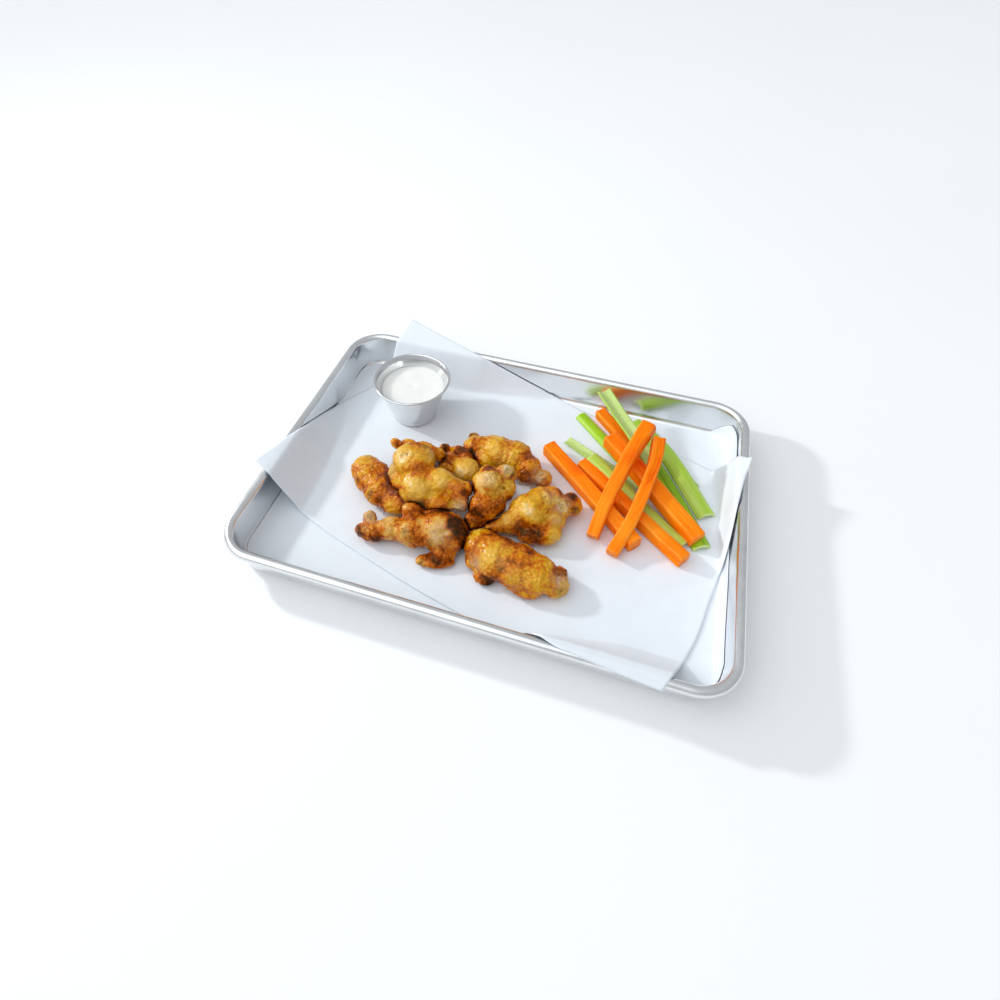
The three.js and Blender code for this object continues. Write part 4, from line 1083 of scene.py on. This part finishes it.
CELERIES = {
    "celery_1": {"pale": 0.1, "width": 8.5, "open": 1,
                 "line": [(33, 64.5, 4.4), (55, 53, 4.4), (92, 33, 4.4)]},
    "celery_2": {"pale": 0.24, "width": 13.5, "open": -1,
                 "line": [(54.5, 46.5, 12), (87, 21.5, 9), (128, -9, 6)]},
    "celery_3": {"pale": 0.05, "width": 11, "open": -1,
                 "line": [(38.2, 95, 5.4), (63.4, 71, 5.4), (92.6, 42.3, 5.4)]},
    "celery_4": {"pale": 0.08, "width": 12, "open": 1,
                 "line": [(52, 99.5, 31), (69, 81.5, 25), (81.5, 69, 21), (100, 48, 14)]},
    "celery_5": {"pale": 0.16, "width": 14, "open": -1,
                 "line": [(81, 99, 5.9), (106.2, 77, 5.9), (142.4, 21.4, 5.9)]},
    "celery_6": {"pale": -0.05, "width": 13, "open": -1,
                 "line": [(102, 58, 5.7), (122, 27, 5.7), (141, -6, 5.7)]},
    "celery_7": {"pale": 0, "width": 5.5, "open": -1, "line": [(120, 61, 4.1), (134, 47.3, 4.1)]},
}


def stick_mesh(name, section, line, taper, steps):
    """A section of (across, up) points in mm, drawn out along a line. Keeps where each corner lies
    along and within the section, as the grain."""
    at = curve_through(line)
    share = np.linspace(0, 1, steps + 1)
    centres = at(share)
    axes = np.gradient(centres, axis=0)
    axes /= np.linalg.norm(axes, axis=1, keepdims=True)
    length = float(np.linalg.norm(np.diff(centres, axis=0), axis=1).sum())
    stations = []
    for centre, axis, t in zip(centres, axes, share):
        forward = Vector(axis)
        across = Vector((0, 0, 1)).cross(forward).normalized()
        turn = facing(across, forward.cross(across), forward)
        size = 1 + (taper - 1) * t
        stations.append(Matrix.Translation(Vector(centre) * MM) @ turn
                        @ Matrix.Diagonal((size, size, 1, 1)))
    bm = bmesh.new()
    along = bm.verts.layers.float_vector.new("grain")
    verts = [bm.verts.new((a * MM, b * MM, 0)) for a, b in section]
    for v in verts:
        v[along] = (0, v.co.x, v.co.y)
    edges = [bm.edges.new(pair) for pair in zip(verts, verts[1:] + verts[:1])]
    rims = edges[:]
    bmesh.ops.transform(bm, matrix=stations[0], verts=verts)
    for i in range(1, len(stations)):
        made = bmesh.ops.extrude_edge_only(bm, edges=edges)["geom"]
        edges = [e for e in made if isinstance(e, bmesh.types.BMEdge) and e.is_boundary]
        verts = [e for e in made if isinstance(e, bmesh.types.BMVert)]
        bmesh.ops.transform(bm, matrix=stations[i] @ stations[i - 1].inverted(), verts=verts)
        for v in verts:
            v[along] = (length * MM * share[i], v[along][1], v[along][2])
    for ring in (rims, edges):
        bmesh.ops.contextual_create(bm, geom=ring)
    bmesh.ops.bevel(bm, geom=rims + edges, affect="EDGES", offset=0.35 * MM, segments=2,
                    profile=0.5, material=-1)
    bmesh.ops.recalc_face_normals(bm, faces=bm.faces)
    return mesh_from(bm, name)


def grain_of(mesh):
    """Where each corner of a stick lies along and within its section, in mm."""
    return triples(mesh.attributes["grain"].data, "vector") / MM


def from_end(grain):
    """Distance of each corner of a stick from the nearer end, in mm."""
    return np.minimum(grain[:, 0], grain[:, 0].max() - grain[:, 0])


def roughen(mesh, shape):
    """Pushes the corners of a stick out by so many mm."""
    lay(mesh, corners_of(mesh) / MM + triples(mesh.vertices, "normal") * shape[:, None])


def carrot_section(side, turn):
    """Square section with softly cut corners."""
    half = side / 2
    cut = 0.16 * side
    points = []
    for quarter, (cx, cy) in enumerate([(1, 1), (-1, 1), (-1, -1), (1, -1)]):
        for i in range(5):
            angle = math.radians(90 * quarter + 22.5 * i)
            points.append((cx * (half - cut) + cut * math.cos(angle),
                           cy * (half - cut) + cut * math.sin(angle)))
        ahead = math.radians(90 * (quarter + 1))
        ax, ay = math.cos(ahead), math.sin(ahead)
        last = points[-1]
        for i in range(1, 6):
            run = (2 * half - 2 * cut) * i / 6
            points.append((last[0] - ay * run, last[1] + ax * run))
    c, s = math.cos(math.radians(turn)), math.sin(math.radians(turn))
    return [(a * c - b * s, a * s + b * c) for a, b in points]


def carrot_mesh(name, stick, seed):
    mesh = stick_mesh(name + "_stick", carrot_section(stick["side"], stick["turn"]), stick["line"],
                      taper=stick.get("taper", 1), steps=72)
    grain = grain_of(mesh)
    long_way = grain * (0.08, 1, 1) + seed * 31.7
    roughen(mesh, 0.35 * lumps(long_way, 4, 51, 2)
            + 0.12 * lumps(grain * (0.5, 1, 1), 5, 52 + seed))
    half = stick["side"] / 2
    from_middle = np.abs(turned_by(grain[:, (1, 2, 0)], stick["turn"])[:, :2])
    edge = ramp(from_middle.min(axis=1), half - 1.6, half - 0.4)
    paint(mesh, "edge", np.maximum(edge, ramp(from_end(grain), 1.0, 0.2)))
    return mesh


def celery_section(width, opening):
    """Ribbed back and hollow front of a stalk, with how fleshy and how ribbed each point is."""
    radius = width / 2
    depth = 0.66 * radius
    per_rib = 5
    steps = max(3, round(width * 0.42)) * per_rib
    points, marks = [], []
    for i in range(steps + 1):
        angle = math.pi * i / steps
        rib = 0.5 - 0.5 * math.cos(2 * math.pi * i / per_rib)
        size = radius * (1 - 0.04 * (1 - rib))
        points.append((size * math.cos(angle), depth / radius * size * math.sin(angle) - depth / 2))
        marks.append((0.0, rib))
    foot = -depth / 2 - 0.08 * radius
    for i in range(13):
        across = -1 + i / 6
        points.append((0.78 * across * radius, foot + 0.44 * radius * (1 - across ** 2)))
        marks.append((1.0, 0.0))
    section = [(a, -opening * b) for a, b in points]
    if opening > 0:
        section.reverse()
        marks.reverse()
    return section, marks


def celery_mesh(name, stick, seed):
    section, marks = celery_section(stick["width"], stick["open"])
    mesh = stick_mesh(name + "_stick", section, stick["line"], taper=1, steps=64)
    grain = grain_of(mesh)
    apart = np.linalg.norm(grain[:, None, 1:] - np.array(section)[None], axis=2)
    fleshy, ribbed = np.array(marks)[np.argmin(apart, axis=1)].T
    roughen(mesh, 0.35 * lumps(grain * (0.35, 0.6, 0.6) + seed * 17.1, 9, 61, 2))
    paint(mesh, "flesh", np.maximum(fleshy * 0.85, ramp(from_end(grain), 0.9, 0.15)))
    paint(mesh, "rib", ribbed)
    paint(mesh, "pale", np.full(len(grain), stick["pale"]))
    return mesh


# ---------------------------------------------------------------- operators

class WINGSTRAY_OT_tray(bpy.types.Operator):
    """Makes the rimmed aluminium tray"""
    bl_idname = "wings_tray.tray"
    bl_label = "Tray"

    def execute(self, context):
        sizes = own("tray")
        metal = metal_finish("satin_aluminium", sizes.metal, roughness=0.2,
                             streaks=(1, 1, 7), waves=0.0005)
        serve(tray_mesh(sizes), metal, "tray")
        return {"FINISHED"}


class WINGSTRAY_OT_liners(bpy.types.Operator):
    """Makes the two sheets of paper in the tray"""
    bl_idname = "wings_tray.liners"
    bl_label = "Liners"

    def execute(self, context):
        sizes = own("tray")
        paper = paper_finish(sizes.paper)
        serve(lower_liner_mesh(sizes), paper, "liner_lower")
        serve(upper_liner_mesh(sizes), paper, "liner_upper")
        return {"FINISHED"}


class WINGSTRAY_OT_cup(bpy.types.Operator):
    """Makes the steel cup and the dip in it"""
    bl_idname = "wings_tray.cup"
    bl_label = "Cup of Dip"

    def execute(self, context):
        steel = metal_finish("polished_steel", own("tray").cup, roughness=0.14,
                             streaks=(1, 1, 9), waves=0.0004)
        serve(cup_mesh(), steel, "sauce_cup")
        serve(dip_mesh(), dip_finish(own("food").dressing), "dip")
        return {"FINISHED"}


class WINGSTRAY_OT_wings(bpy.types.Operator):
    """Makes the roasted chicken wings"""
    bl_idname = "wings_tray.wings"
    bl_label = "Chicken Wings"

    def execute(self, context):
        food = own("food")
        skin = skin_finish(food.golden)
        detail = food.skin_detail * 1
        for name, wing in WINGS.items():
            serve(wing_mesh(name, wing, detail, food.skin_relief), skin, name)
        return {"FINISHED"}


class WINGSTRAY_OT_carrots(bpy.types.Operator):
    """Makes the carrot sticks"""
    bl_idname = "wings_tray.carrots"
    bl_label = "Carrot Sticks"

    def execute(self, context):
        finish = carrot_finish(own("food").carrot)
        for seed, (name, stick) in enumerate(CARROTS.items()):
            serve(carrot_mesh(name, stick, seed), finish, name)
        return {"FINISHED"}


class WINGSTRAY_OT_celery(bpy.types.Operator):
    """Makes the celery sticks"""
    bl_idname = "wings_tray.celery"
    bl_label = "Celery Sticks"

    def execute(self, context):
        finish = celery_finish(own("food").celery)
        for seed, (name, stick) in enumerate(CELERIES.items()):
            serve(celery_mesh(name, stick, seed), finish, name)
        return {"FINISHED"}


class WINGSTRAY_OT_stage(bpy.types.Operator):
    """Makes the floor, the light and the camera"""
    bl_idname = "wings_tray.stage"
    bl_label = "Stage"

    def execute(self, context):
        stage = own("stage")
        bm = bmesh.new()
        bmesh.ops.create_grid(bm, x_segments=8, y_segments=8, size=4)
        floor = bpy.data.objects.new("floor", mesh_from(bm, "floor"))
        floor.data.materials.append(floor_finish(stage.floor))
        context.scene.collection.objects.link(floor)
        add_light(stage)
        add_camera()
        return {"FINISHED"}


LAMP_AT = (-0.60, 0.05, 0.36)
LAMP_SIZE = 0.026
LAMP_COLOUR = (0.96, 0.985, 0.975)
WINDOW = (-0.45, -0.35, 0.82)       # direction in which the sky is brightest
# Colours of the sky, from the side away from the window towards it
SKY = [(0.0, (0.58, 0.60, 0.62, 1)), (0.45, (0.62, 0.64, 0.66, 1)),
       (0.75, (0.74, 0.77, 0.79, 1)), (0.93, (2.1, 2.2, 2.3, 1))]


def add_light(stage):
    """A soft sky that is brightest at the window, and a small low lamp."""
    scene = bpy.context.scene
    scene.view_settings.view_transform = "Standard"
    world = bpy.data.worlds.new("soft_sky")
    world.use_nodes = True
    scene.world = world
    nodes, links = world.node_tree.nodes, world.node_tree.links
    place = nodes.new("ShaderNodeTexCoord")
    toward = nodes.new("ShaderNodeVectorMath")
    toward.operation = "DOT_PRODUCT"
    toward.inputs[1].default_value = WINDOW
    glow = nodes.new("ShaderNodeValToRGB")
    links.new(place.outputs["Generated"], toward.inputs[0])
    links.new(toward.outputs["Value"], glow.inputs["Fac"])
    fill_band(glow.color_ramp, SKY)
    links.new(glow.outputs["Color"], nodes["Background"].inputs["Color"])
    nodes["Background"].inputs["Strength"].default_value = stage.sky
    light = bpy.data.lights.new("lamp", "POINT")
    light.shadow_soft_size = LAMP_SIZE
    light.color = LAMP_COLOUR
    light.energy = stage.lamp
    light.use_nodes = True
    nodes, links = light.node_tree.nodes, light.node_tree.links
    even = nodes.new("ShaderNodeLightFalloff")
    even.inputs["Strength"].default_value = 1
    links.new(even.outputs["Constant"], nodes["Emission"].inputs["Strength"])
    lamp = bpy.data.objects.new("lamp", light)
    lamp.location = LAMP_AT
    lamp.visible_camera = False
    scene.collection.objects.link(lamp)


CAMERA_AT = (0.064652, -0.282837, 0.375239)
CAMERA_TURN = 17.768                # degrees round the object from the front
CAMERA_DOWN = 46.104                # degrees below the horizon
CAMERA_FOCUS = 0.640754             # focal length as a share of the sensor's width
CAMERA_SHIFT = (0.030, -0.075)


def add_camera():
    """Looks down at the tray from its front right."""
    camera = bpy.data.cameras.new("camera")
    camera.sensor_width = 36
    camera.lens = CAMERA_FOCUS * camera.sensor_width
    camera.shift_x, camera.shift_y = CAMERA_SHIFT
    camera.clip_start = 0.01
    camera.clip_end = 50
    turn, down = math.radians(CAMERA_TURN), math.radians(CAMERA_DOWN)
    back = Vector((math.sin(turn) * math.cos(down), -math.cos(turn) * math.cos(down),
                   math.sin(down)))
    right = Vector((math.cos(turn), math.sin(turn), 0))
    eye = bpy.data.objects.new("camera", camera)
    eye.matrix_world = Matrix.Translation(CAMERA_AT) @ facing(right, back.cross(right), back)
    bpy.context.scene.collection.objects.link(eye)
    bpy.context.scene.camera = eye


class WINGSTRAY_PT_panel(bpy.types.Panel):
    """Lists what can be made, with its sizes and colours"""
    bl_label = "Wings Tray"
    bl_idname = "WINGSTRAY_PT_panel"
    bl_space_type = "VIEW_3D"
    bl_region_type = "UI"
    bl_category = "Wings Tray"

    def draw(self, context):
        for group, settings in SETTINGS.items():
            box = self.layout.box()
            box.label(text=group.capitalize())
            for name in settings.__annotations__:
                box.prop(own(group), name)
        for operator in OPERATORS:
            self.layout.operator(operator.bl_idname)


SETTINGS = {"tray": TraySettings, "food": FoodSettings, "stage": StageSettings}
OPERATORS = (WINGSTRAY_OT_tray, WINGSTRAY_OT_liners, WINGSTRAY_OT_cup, WINGSTRAY_OT_wings,
             WINGSTRAY_OT_carrots, WINGSTRAY_OT_celery, WINGSTRAY_OT_stage)


def register():
    for cls in (*SETTINGS.values(), *OPERATORS, WINGSTRAY_PT_panel):
        bpy.utils.register_class(cls)
    for group, settings in SETTINGS.items():
        setattr(bpy.types.Scene, "wings_tray_" + group, bpy.props.PointerProperty(type=settings))


def unregister():
    for group in SETTINGS:
        delattr(bpy.types.Scene, "wings_tray_" + group)
    for cls in (WINGSTRAY_PT_panel, *OPERATORS, *SETTINGS.values()):
        bpy.utils.unregister_class(cls)


def main():
    register()
    for operator in OPERATORS:
        group, name = operator.bl_idname.split(".")
        getattr(getattr(bpy.ops, group), name)()


if __name__ == "__main__":
    main()
